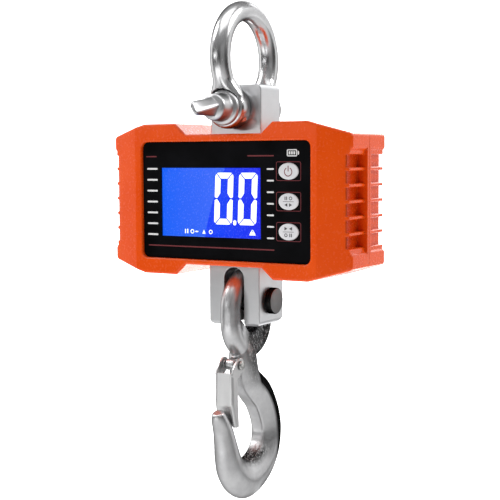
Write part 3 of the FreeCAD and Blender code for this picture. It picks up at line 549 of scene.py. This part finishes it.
def display_marks():
    """The reading 0.0 and plain pictograms for the display's small words."""
    marks = Print(GLASS_FACE, 0.08)
    digit_zero(marks, -7.4, 0.042)
    digit_zero(marks, 11.4, 0.042)
    marks.bar(7.6, -15.6, 7.7, -14.6, 1.25)
    marks.finish("display_digits", "scale_body", "lcd_blue", LIT)
    small = Print(GLASS_FACE, 0.08)
    small.bar(-32.3, -22.9, -32.3, -20.6, 0.4)
    small.bar(-30.4, -22.9, -30.4, -20.6, 0.4)
    small.arc(-26.6, -21.8, 1.2, 0.6, 0, 360)
    small.bar(-23.7, -21.8, -22.1, -21.8, 0.4)
    small.shape([(-18.4, -23.2), (-15.8, -23.2), (-17.1, -20.4)])
    small.arc(-11.6, -21.8, 1.2, 0.6, 0, 360)
    small.shape([(19.0, -23.2), (24.0, -23.2), (22.9, -20.9), (20.1, -20.9)])
    small.arc(21.5, -20.5, 0.75, 0.45, 0, 360)
    small.finish("display_symbols", "scale_body", "lcd_blue", LIT)


def oval(x, z, half_width, half_height, steps=56):
    turns = [2 * math.pi * i / steps for i in range(steps)]
    return [(x + half_width * math.cos(t), z + half_height * math.sin(t)) for t in turns]


def key_cap(name, z):
    """A domed oval key with its flange and stem."""
    body = name + "_key"
    levels = [
        (2.0, 2.0, -24.0), (2.0, 2.0, -26.3), (8.6, 6.65, -26.3), (8.6, 6.65, -27.3),
        (7.4, 5.45, -27.3), (7.4, 5.45, -28.95), (7.22, 5.28, -29.14), (6.8, 4.9, -29.25),
        (5.6, 3.9, -29.34), (3.6, 2.4, -29.385), (1.2, 0.8, -29.395),
    ]
    mesh = bmesh.new()
    skin(mesh, [[point(x, y, up) for x, up in oval(KEY_X, z, half_width, half_height)]
                for half_width, half_height, y in levels])
    piece(name + "_key_cap", mesh, body, "key_grey", KEY_GREY, "button_" + name, sharp=50)


def key_symbols():
    """A power sign, and small bars, rings and arrows above and below a line on the other keys."""
    face = -29.35
    power = Print(face, 0.06)
    z = KEY_HEIGHTS["power"]
    power.arc(KEY_X, z - 0.4, 2.75, 0.62, 118, 422)
    power.bar(KEY_X, z + 0.1, KEY_X, z + 3.3, 0.34)
    power.finish("power_key_symbol", "power_key", "key_grey", CRIMSON_INK)
    for name, arrows in (("hold", False), ("tare", True)):
        z = KEY_HEIGHTS[name]
        marks = Print(face, 0.06)
        marks.bar(KEY_X - 3.9, z, KEY_X + 3.9, z, 0.16)
        for row in (-1, 1):
            level = z + 2.15 * row
            for side in (-1, 1):
                x = KEY_X + 1.75 * side
                if arrows == (row > 0):
                    tip = 1.1 * side * row
                    marks.shape([(x - tip, level), (x + tip, level + 1.2), (x + tip, level - 1.2)])
                elif side * row > 0:
                    marks.arc(x, level, 0.95, 0.5, 0, 360)
                else:
                    marks.bar(x - 0.6, level - 0.9, x - 0.6, level + 0.9, 0.33)
                    marks.bar(x + 0.6, level - 0.9, x + 0.6, level + 0.9, 0.33)
        marks.finish(name + "_key_symbols", name + "_key", "key_grey", DARK_INK)


def solid(mesh):
    """A helper object that holds a closed mesh."""
    bmesh.ops.recalc_face_normals(mesh, faces=mesh.faces)
    data = bpy.data.meshes.new("blank")
    mesh.to_mesh(data)
    mesh.free()
    blank = bpy.data.objects.new("blank", data)
    bpy.context.scene.collection.objects.link(blank)
    return blank


def applied(base):
    """The helper's mesh with its modifiers applied; the helper is removed."""
    shaped = base.evaluated_get(bpy.context.evaluated_depsgraph_get())
    result = bmesh.new()
    result.from_mesh(shaped.to_mesh())
    shaped.to_mesh_clear()
    data = base.data
    bpy.data.objects.remove(base)
    bpy.data.meshes.remove(data)
    return result


# ---- shackle ----

PIN_Z = 62.0
BOW_RADIUS = 32.2
BOW_CENTRE = 96.3
BOW_DROOP = math.radians(22)
BAR = 7.0
LEG_PAST_PIN = 8
EAR_FACE = 27.6
COLLAR_SEAT = 12.5
# The bar swells into the ears between these heights above the pin's axis.
FLARE_TOP = 21
FLARE_RUN = 15


def bow_line():
    """The bow's centreline in the YZ plane, from one ear to the other, with its flare."""
    line = []
    foot_y = BOW_RADIUS * math.cos(BOW_DROOP)
    foot_z = BOW_CENTRE - BOW_RADIUS * math.sin(BOW_DROOP)
    leg = (foot_z - PIN_Z + LEG_PAST_PIN) / math.cos(BOW_DROOP)
    steps = 60
    for i in range(steps):
        back = leg * (1 - i / steps)
        line.append((foot_y - back * math.sin(BOW_DROOP), foot_z - back * math.cos(BOW_DROOP)))
    turns = 72
    for i in range(turns + 1):
        t = -BOW_DROOP + (math.pi + 2 * BOW_DROOP) * i / turns
        line.append((BOW_RADIUS * math.cos(t), BOW_CENTRE + BOW_RADIUS * math.sin(t)))
    return line + [(-y, z) for y, z in reversed(line[:steps])]


def seated(spot):
    """The spot, pressed back to the ear's face where the pin's collar sits."""
    x, y, z = spot
    near = math.hypot(x, z - PIN_Z) < COLLAR_SEAT
    return point(x, math.copysign(EAR_FACE, y) if near and abs(y) > EAR_FACE else y, z)


def shackle_bow():
    line = bow_line()
    rings = []
    for i, (y, z) in enumerate(line):
        before = line[max(i - 1, 0)]
        after = line[min(i + 1, len(line) - 1)]
        along = Vector((0, after[0] - before[0], after[1] - before[1])).normalized()
        outward = along.cross(Vector((1, 0, 0)))
        flare = min(max((PIN_Z + FLARE_TOP - z) / FLARE_RUN, 0.0), 1.0)
        flare = flare * flare * (3 - 2 * flare)
        half_width = BAR + 5.6 * flare
        half_depth = BAR - 0.9 * flare
        rings.append([seated(Vector((0, y, z)) + Vector((1, 0, 0)) * half_width * u
                             + outward * half_depth * v)
                      for u, v in superoval(64, 2 + 0.8 * flare)])
    mesh = skin(bmesh.new(), rings)
    ear = [(13.6, 8.6), (13.6, 11.4), (14.1, 12.7), (15.2, 13.6), (17.0, 14.0), (24.4, 14.0),
           (25.9, 13.7), (27.0, 13.0), (27.5, 12.3), (27.6, 11.6), (27.6, 8.6)]
    turns = [2 * math.pi * i / 96 for i in range(96)]
    for side in (-1, 1):
        rows = [[point(r * math.cos(t), side * y, PIN_Z + r * math.sin(t)) for t in turns]
                for y, r in ear]
        skin(mesh, rows, closed=True)
    piece("shackle_bow_bar", mesh, "shackle", "polished_steel", POLISHED, "shackle_bow", sharp=32)


# The tongue's corners (X, Z) about the pin's axis: next to the neck, and at its end.
TONGUE_ROOT = [(-1.4, 7.6), (6.6, 1.2), (2.0, -7.4), (-6.6, -1.8)]
TONGUE_END = [(-1.2, 3.2), (2.6, -4.6), (1.0, -6.6), (-3.0, 0.6)]


def tongue_ring(share, size, count):
    """A rounded four-cornered section, share of the way from the neck to the end."""
    corners = [Vector(a).lerp(Vector(b), share) for a, b in zip(TONGUE_ROOT, TONGUE_END)]
    middle = sum(corners, Vector((0, 0))) / 4
    spots = []
    per = count // 4
    for i in range(4):
        first, second, third = corners[i - 1], corners[i], corners[(i + 1) % 4]
        enter, leave = second.lerp(first, 0.3), second.lerp(third, 0.3)
        for k in range(per):
            t = (k + 0.5) / per
            spot = enter.lerp(second, t).lerp(second.lerp(leave, t), t)
            spots.append(middle + (spot - middle) * size)
    return spots


def shackle_pin():
    """A screw pin: threaded end, shank, collar, neck and a tapering flat tongue."""
    count = 64
    tongue_start, tongue_end = 42.9, 65.6
    threads = []
    for i in range(7):
        start = -30.2 + 0.9 * i
        threads += [(start, 7.2), (start + 0.45, 7.9)]
    profile = [(-30.6, 0.4), (-30.6, 6.4)] + threads + [
        (-23.6, 7.9), (27.5, 7.9), (27.62, 10.6), (27.8, 11.5), (28.3, 12.0), (29.4, 12.0),
        (30.2, 11.7), (30.8, 11.0), (31.0, 10.2), (31.1, 9.6), (31.7, 9.15), (32.8, 9.0),
        (39.8, 9.0), (41.3, 8.85), (42.1, 8.4), (42.4, 7.7),
    ]
    # The tongue's rings start at the upper left corner, so the round rings start there too.
    start = math.atan2(*reversed(tongue_ring(0, 1, count)[0]))
    turns = [start - 2 * math.pi * i / count for i in range(count)]
    rings = [[point(radius * math.cos(t), -along, PIN_Z + radius * math.sin(t)) for t in turns]
             for along, radius in profile]
    for along, size in ((tongue_start, 0.99), (43.6, 0.97), (45.0, 0.97), (50.0, 0.98),
                        (55.0, 0.99), (60.0, 1.0), (63.0, 1.0), (64.4, 0.94), (65.2, 0.76),
                        (65.55, 0.45), (tongue_end, 0.1)):
        share = (along - tongue_start) / (tongue_end - tongue_start)
        rings.append([point(x, -along, PIN_Z + z) for x, z in tongue_ring(share, size, count)])
    mesh = skin(bmesh.new(), rings)
    piece("shackle_screw_pin", mesh, "shackle", "polished_steel", PIN_STEEL, "shackle_pin")


# ---- clevis pin ----

CLEVIS_Z = -70.0


def clevis_pin():
    def place(along, out, up):
        return point(along, out, CLEVIS_Z + up)

    mesh = bmesh.new()
    revolve(mesh, [(-24.0, 0.3), (-24.0, 7.4), (-23.4, 8.0), (-22.6, 8.0), (-22.6, 7.0),
                   (-21.4, 7.0), (-21.4, 8.0), (19.9, 8.0), (20.0, 9.1), (23.4, 9.1),
                   (24.0, 8.9), (24.3, 8.4), (24.3, 0.3)], place)
    piece("clevis_pin_body", mesh, "scale_body", "black_pin", BLACK_OXIDE, "clevis_pin", sharp=35)
    mesh = bmesh.new()
    revolve(mesh, [(24.15, 8.5), (24.34, 8.45), (24.4, 8.25), (24.4, 0.3)], place)
    piece("clevis_pin_face", mesh, "scale_body", "black_pin", GROUND_FACE, sharp=50)


# ---- hook ----

# Stations down the forging: centre Y and Z, half width across X, half depth, and how far
# the inner side narrows to a flat land, from 0 (round) to 1.
HOOK = [
    [-4.0, -101.0, 7.0, 9.2, 0.0],
    [-5.6, -108.0, 9.4, 10.2, 0.0],
    [-4.6, -117.0, 10.0, 10.6, 0.1],
    [-1.0, -126.0, 10.0, 11.2, 0.5],
    [6.5, -132.7, 10.0, 11.8, 0.9],
    [14.9, -139.5, 10.0, 12.5, 1.0],
    [21.4, -148.6, 10.0, 12.9, 1.0],
    [26.1, -158.7, 10.0, 13.2, 1.0],
    [27.6, -169.5, 10.0, 13.5, 1.0],
    [24.1, -181.3, 10.0, 14.0, 0.8],
    [14.2, -191.6, 10.0, 14.2, 0.6],
    [-1.5, -197.1, 10.0, 14.1, 0.5],
    [-13.5, -194.0, 10.0, 13.0, 0.4],
    [-22.0, -186.5, 9.6, 11.2, 0.3],
    [-26.2, -177.0, 9.0, 9.4, 0.2],
    [-28.8, -167.5, 8.0, 8.1, 0.1],
    [-31.8, -157.5, 6.9, 7.0, 0.0],
    [-36.0, -149.0, 5.7, 5.8, 0.0],
    [-38.4, -144.4, 4.4, 4.5, 0.0],
    [-38.9, -143.3, 3.0, 3.1, 0.0],
]
EYE_RADIUS = 21.0
EYE_BAR = 7.0
EYE_TOP = -75.7
EYE_BOTTOM = -84.0
LATCH_Y = -20.0
LATCH_Z = -113.3


# The hook's section where it is fully worked, as (across, outward) shares of its half
# sizes: a narrow inner land, a swelling side, a ridge and a tapering back.
LENS = [(0.0, -1.0), (0.3, -1.0), (0.45, -0.99), (0.53, -0.94), (0.61, -0.8), (0.73, -0.58),
        (0.85, -0.36), (0.95, -0.15), (1.0, 0.0), (0.97, 0.14), (0.91, 0.3), (0.83, 0.46),
        (0.72, 0.62), (0.58, 0.77), (0.41, 0.89), (0.21, 0.97), (0.0, 1.0)]


def hook_section(half_width, half_depth, land):
    """(across, outward) points: from an oval, at land 0, to the lens section, at land 1."""
    side = []
    for u, v in LENS:
        t = math.atan2(v, u) if u else math.copysign(math.pi / 2, v)
        round_u, round_v = math.cos(t), math.sin(t)
        side.append((half_width * (round_u + (u - round_u) * land),
                     half_depth * (round_v + (v - round_v) * land)))
    return side + [(-u, v) for u, v in reversed(side[1:-1])]


def hook_body(mesh):
    """The forging below the eye, lofted through the stations."""
    run = curve_through(HOOK, 8)
    rings = []
    for i, (y, z, half_width, half_depth, land) in enumerate(run):
        before = run[max(i - 2, 0)]
        after = run[min(i + 2, len(run) - 1)]
        heading = Vector((0, after[0] - before[0], after[1] - before[1])).normalized()
        outward = Vector((1, 0, 0)).cross(heading)
        rings.append([point(0, y, z) + (Vector((1, 0, 0)) * u + outward * v) * MM
                      for u, v in hook_section(half_width, half_depth, land)])
    skin(mesh, rings)


def hook_eye(mesh):
    """A closed ring of round bar: two half circles joined by short straight sides."""
    line = []
    steps = 48
    for i in range(steps + 1):
        t = math.pi * i / steps
        line.append((EYE_RADIUS * math.cos(t), EYE_TOP + EYE_RADIUS * math.sin(t), t))
    for i in range(steps + 1):
        t = math.pi + math.pi * i / steps
        line.append((EYE_RADIUS * math.cos(t), EYE_BOTTOM + EYE_RADIUS * math.sin(t), t))
    rings = []
    for y, z, t in line:
        outward = Vector((0, math.cos(t), math.sin(t)))
        rings.append([point(0, y, z) + (Vector((1, 0, 0)) * u + outward * v) * EYE_BAR * MM
                      for u, v in superoval(32, 2.1)])
    skin(mesh, rings, closed=True)


def hook_lug(mesh):
    """The narrow lug on the front of the neck that the latch's rivet passes through."""
    rows = []
    for x in (-3.3, -2.9, 2.9, 3.3):
        inset = 0.5 if abs(x) > 3 else 0.0
        radius = 4.0 - inset
        arc = [(LATCH_Y + radius * math.cos(t), LATCH_Z + radius * math.sin(t))
               for t in (math.radians(90 + 180 * i / 16) for i in range(17))]
        outline = arc + [(-8.0, LATCH_Z - 5.0 + inset), (-8.0, LATCH_Z + 4.6 - inset)]
        rows.append([point(x, y, z) for y, z in outline])
    skin(mesh, rows)


def hook_crotch(mesh):
    """The web that fills the foot of the eye."""
    outline = [(-15, -82), (-10.5, -86.5), (-5.5, -91.5), (-1, -93.5), (4, -92),
               (9.5, -87.5), (15, -81), (15, -97), (0, -106), (-15, -97)]
    rows = []
    waist = -96
    for x, inset in ((-6.2, 2.2), (-4.6, 0.6), (-2.5, 0.0), (2.5, 0.0), (4.6, 0.6), (6.2, 2.2)):
        rows.append([point(x, y, z - (inset if z > waist else -inset)) for y, z in outline])
    skin(mesh, rows)


def fused(mesh, voxel, rounds):
    """One closed skin round overlapping solids, with its joins blended by smoothing."""
    blank = solid(mesh)
    remesh = blank.modifiers.new("remesh", "REMESH")
    remesh.mode = "VOXEL"
    remesh.voxel_size = voxel * MM
    smooth = blank.modifiers.new("smooth", "SMOOTH")
    smooth.factor = 0.5
    smooth.iterations = rounds
    return applied(blank)


def hook():
    mesh = bmesh.new()
    hook_body(mesh)
    hook_eye(mesh)
    hook_lug(mesh)
    hook_crotch(mesh)
    forging = fused(mesh, 0.6, 4)
    piece("hook_forging", forging, "hook", "forged_steel", FORGED, "hook", sharp=180)


# ---- latch ----

def latch_rivet():
    """A rivet with a low domed head at each end."""
    def place(along, out, up):
        return point(along, LATCH_Y + out, LATCH_Z + up)

    mesh = bmesh.new()
    side = [(7.8, 3.2), (8.3, 3.2), (8.75, 2.8), (8.95, 2.0), (9.0, 0.3)]
    other = [(-x, r) for x, r in reversed(side)]
    revolve(mesh, other + [(-7.8, 2.0), (7.8, 2.0)] + side, place, 40)
    piece("latch_rivet", mesh, "hook", "zinc_steel", ZINC, "latch_pin", sharp=60)


def latch_channel(mesh):
    """The channel below the ears: two flanges, rounded bends and a web scooped at its foot."""
    sheet = 1.5
    bend = 2.0
    near = bend - sheet
    top, foot = -117.6, -155.5
    knee = 0.59
    scoop_top, scoop_run = -144.5, 11
    rows = []
    height = 40
    for i in range(height + 1):
        t = i / height
        z = top + t * (foot - top)
        front = -31.0 + 0.2 * min(t / knee, 1) + 3.7 * max((t - knee) / (1 - knee), 0)
        rear = -24.4 + 1.2 * t
        side = 7.5 - 0.45 * (1 - t)
        deep = 2.5 * max((scoop_top - z) / scoop_run, 0)
        half = []
        for x in (5.3, 4.9, 4.4, 3.8, 3.0, 2.0, 1.0):
            scoop = min(max((5.3 - x) / 1.6, 0), 1)
            half.append((x, deep * scoop * scoop * (3 - 2 * scoop)))
        half.append((0.0, half[-1][1]))
        corner = [math.radians(18 * k) for k in range(1, 5)]
        outer = [(side, rear), (side, front + bend)]
        outer += [(side - bend + bend * math.cos(a), front + bend - bend * math.sin(a))
                  for a in corner]
        outer += [(side - bend, front)] + [(x, front + d) for x, d in half]
        inner = [(side - sheet, rear), (side - sheet, front + bend)]
        inner += [(side - bend + near * math.cos(a), front + bend - near * math.sin(a))
                  for a in corner]
        inner += [(side - bend, front + sheet)] + [(x * 0.98, front + sheet + d) for x, d in half]
        right = [point(x, y, z) for x, y in outer]
        left = [point(-x, y, z) for x, y in reversed(outer[:-1])]
        back = [point(-x, y, z) for x, y in inner[:-1]]
        home = [point(x, y, z) for x, y in reversed(inner)]
        rows.append(right + left + back + home)
    skin(mesh, rows)


def latch_ears(mesh):
    """The two ears that carry the rivet, each with a slightly broken outer edge."""
    radius = 5.0
    middle = Vector((-23.5, -115.5))
    outline = [(-30.6, -119.4), (-24.3, -122.5)]
    outline += [(LATCH_Y + radius * math.cos(t), LATCH_Z + radius * math.sin(t))
                for t in (math.radians(-50 + 15 * k) for k in range(13))]
    outline += [(-26.0, -111.0), (-29.6, -115.6)]
    for side in (-1, 1):
        rows = []
        for x, inset in ((5.75, 0.0), (7.0, 0.0), (7.2, 0.22)):
            rows.append([point(side * x, *(spot + (middle - spot).normalized() * inset))
                         for spot in map(Vector, outline)])
        skin(mesh, rows)


def latch():
    mesh = bmesh.new()
    latch_channel(mesh)
    latch_ears(mesh)
    piece("latch_channel", mesh, "latch", "latch_steel", SHEET, "latch", sharp=38)


def latch_spring():
    """A wire coil each side of the lug, with a leg down behind the web."""
    mesh = bmesh.new()
    wire, coil, winds = 0.5, 3.1, 2.25
    for side in (-1, 1):
        route = [Vector((side * 4.3, LATCH_Y - 5.6, LATCH_Z - 12.0)),
                 Vector((side * 4.3, LATCH_Y - 4.2, LATCH_Z - 6.0))]
        turns = 44
        for i in range(turns + 1):
            t = math.pi + 2 * math.pi * winds * i / turns
            route.append(Vector((side * (4.3 + 1.1 * i / turns), LATCH_Y + coil * math.cos(t),
                                 LATCH_Z + coil * math.sin(t))))
        rings = []
        for i, spot in enumerate(route):
            heading = (route[min(i + 1, len(route) - 1)] - route[max(i - 1, 0)]).normalized()
            first = heading.orthogonal().normalized() if i == 0 else (
                first - heading * first.dot(heading)).normalized()
            second = heading.cross(first)
            rings.append([point(*(spot + (first * math.cos(a) + second * math.sin(a)) * wire))
                          for a in (2 * math.pi * k / 10 for k in range(10))])
        skin(mesh, rings)
    piece("latch_spring_wire", mesh, "latch", "spring_steel", SPRING, "latch_spring", sharp=70)


panel_print()
display_marks()
for key_name, key_z in KEY_HEIGHTS.items():
    key_cap(key_name, key_z)
key_symbols()
shackle_bow()
shackle_pin()
clevis_pin()
hook()
latch_rivet()
latch()
latch_spring()


# ---- floor, lights and camera ----

# The camera: its bearing from the front, its height and its roll in degrees, its distance in
# metres, its lens and sensor in millimetres, and how far right of and below the middle of the
# housing it aims, in millimetres.
VIEW_BEARING = 30.9
VIEW_HEIGHT = 4.63
VIEW_ROLL = -0.29
VIEW_DISTANCE = 0.79914
FOCAL_LENGTH = 82.8
SENSOR_WIDTH = 36
AIM_RIGHT = 2.82
AIM_BELOW = 35.6

# The studio's floor and backdrop, in metres.
FLOOR_DROP = 0.45
FLOOR_HALF = 2.2
BACKDROP_HALF = 0.85
BACKDROP_DISTANCE = 1.9
BACKDROP_TOP = 1.1

# Each light's name, bearing, height, distance, width, tallness and power.
LIGHTS = [
    ("top_light", 40, 76, 1.2, 1.2, 1.0, 6),
    ("left_card", -95, 4, 1.3, 1.4, 1.0, 5.5),
    ("left_high_light", -66, 42, 1.3, 0.5, 0.5, 6.2),
    ("front_card", 56, 4, 1.3, 1.0, 0.9, 0.6),
    ("block_card", -22, 8.5, 1.1, 0.8, 0.1, 0.9),
    ("low_front_card", -8, -23, 1.1, 1.2, 0.36, 2.0),
    ("right_card", 152, 7, 1.3, 1.4, 1.2, 5.2),
    ("right_high_light", 118, 38, 1.3, 0.6, 0.5, 7),
    ("back_light", 194, 25, 1.3, 1.0, 0.7, 11),
    ("low_back_light", 190, -32, 1.1, 0.5, 0.4, 3),
]

# The grey that the metal reflects, from the ground (0) past the horizon to the sky (1).
SURROUND_GROUND = (0.95, 0.95, 0.95, 1)
SURROUND_SKY = (0.55, 0.55, 0.55, 1)
SURROUND_BANDS = [(0.28, 0.85), (0.38, 0.2), (0.45, 0.05), (0.54, 0.05), (0.62, 0.18)]


def stage_card(name, spots, strength):
    """A pale matt card of the studio that gives off a little light and isn't seen in the metal."""
    data = bpy.data.meshes.new(name)
    data.from_pydata(spots, [], [(0, 1, 2, 3)])
    made = bpy.data.objects.new(name, data)
    bpy.context.scene.collection.objects.link(made)
    s = Surface(name)
    s.set(Base_Color=s.mix(colour(0.9, 0.9, 0.9), colour(0.86, 0.86, 0.86), s.noise(0.004)))
    s.set(Roughness=s.spread(s.noise(0.02), 0.8, 0.9))
    s.set(Emission_Color=colour(1, 1, 1), Emission_Strength=strength)
    data.materials.append(s.material)
    made.visible_glossy = False


def studio_stage():
    """A wide pale floor, and a backdrop that only just fills the camera's view."""
    floor = cad_box[0][2] - FLOOR_DROP
    turn = Matrix.Rotation(math.radians(VIEW_BEARING), 3, "Z")
    spots = [(x * FLOOR_HALF, y * FLOOR_HALF, floor)
             for x, y in ((-1, -1), (1, -1), (1, 1), (-1, 1))]
    stage_card("studio_floor", spots, strength=0.75)
    spots = [turn @ Vector((side * BACKDROP_HALF, BACKDROP_DISTANCE, z)) for side, z in
             ((-1, floor), (1, floor), (1, BACKDROP_TOP), (-1, BACKDROP_TOP))]
    stage_card("studio_backdrop", spots, strength=1.3)


def softbox(name, bearing, height, distance, wide, tall, power):
    """An area light that faces the scale from a bearing: 0 is the display's front, 90 its right."""
    data = bpy.data.lights.new(name, "AREA")
    data.shape = "RECTANGLE"
    data.size = wide
    data.size_y = tall
    data.energy = power
    made = bpy.data.objects.new(name, data)
    bpy.context.scene.collection.objects.link(made)
    b, h = math.radians(bearing), math.radians(height)
    away = Vector((math.sin(b) * math.cos(h), -math.cos(b) * math.cos(h), math.sin(h)))
    made.location = HOUSING + away * distance
    made.rotation_euler = (-away).to_track_quat("-Z", "Y").to_euler()
    made.visible_camera = False


def studio_lights():
    """The lights, and a surround that is pale below, dark at the horizon and grey above."""
    for light in LIGHTS:
        softbox(*light)
    world = bpy.data.worlds.new("studio")
    bpy.context.scene.world = world
    world.use_nodes = True
    tree = world.node_tree
    place = tree.nodes.new("ShaderNodeTexCoord").outputs["Generated"]
    split = tree.nodes.new("ShaderNodeSeparateXYZ")
    tree.links.new(place, split.inputs[0])
    rise = tree.nodes.new("ShaderNodeMapRange")
    tree.links.new(split.outputs["Z"], rise.inputs["Value"])
    rise.inputs["From Min"].default_value = -1.0
    ramp = tree.nodes.new("ShaderNodeValToRGB")
    tree.links.new(rise.outputs[0], ramp.inputs[0])
    ramp.color_ramp.elements[0].color = SURROUND_GROUND
    ramp.color_ramp.elements[1].color = SURROUND_SKY
    for spot, grey in SURROUND_BANDS:
        ramp.color_ramp.elements.new(spot).color = (grey, grey, grey, 1)
    background = tree.nodes["Background"]
    tree.links.new(ramp.outputs[0], background.inputs[0])
    background.inputs[1].default_value = 1.0


def camera():
    """Looks from the right of the display and a little above, with a mild telephoto lens."""
    azimuth, pitch, roll = (math.radians(a) for a in (VIEW_BEARING, VIEW_HEIGHT, VIEW_ROLL))
    back = Vector((math.sin(azimuth) * math.cos(pitch), -math.cos(azimuth) * math.cos(pitch),
                   math.sin(pitch)))
    level = (-back).cross(Vector((0, 0, 1))).normalized()
    rise = level.cross(-back)
    right = level * math.cos(roll) + rise * math.sin(roll)
    up = rise * math.cos(roll) - level * math.sin(roll)
    data = bpy.data.cameras.new("camera")
    data.lens = FOCAL_LENGTH
    data.sensor_width = SENSOR_WIDTH
    made = bpy.data.objects.new("camera", data)
    bpy.context.scene.collection.objects.link(made)
    turn = Matrix((right, up, back)).transposed().to_4x4()
    turn.translation = (HOUSING + back * VIEW_DISTANCE + right * AIM_RIGHT * MM
                        - up * AIM_BELOW * MM)
    made.matrix_world = turn
    bpy.context.scene.camera = made


studio_stage()
studio_lights()
camera()
bpy.context.scene.view_settings.view_transform = "Standard"
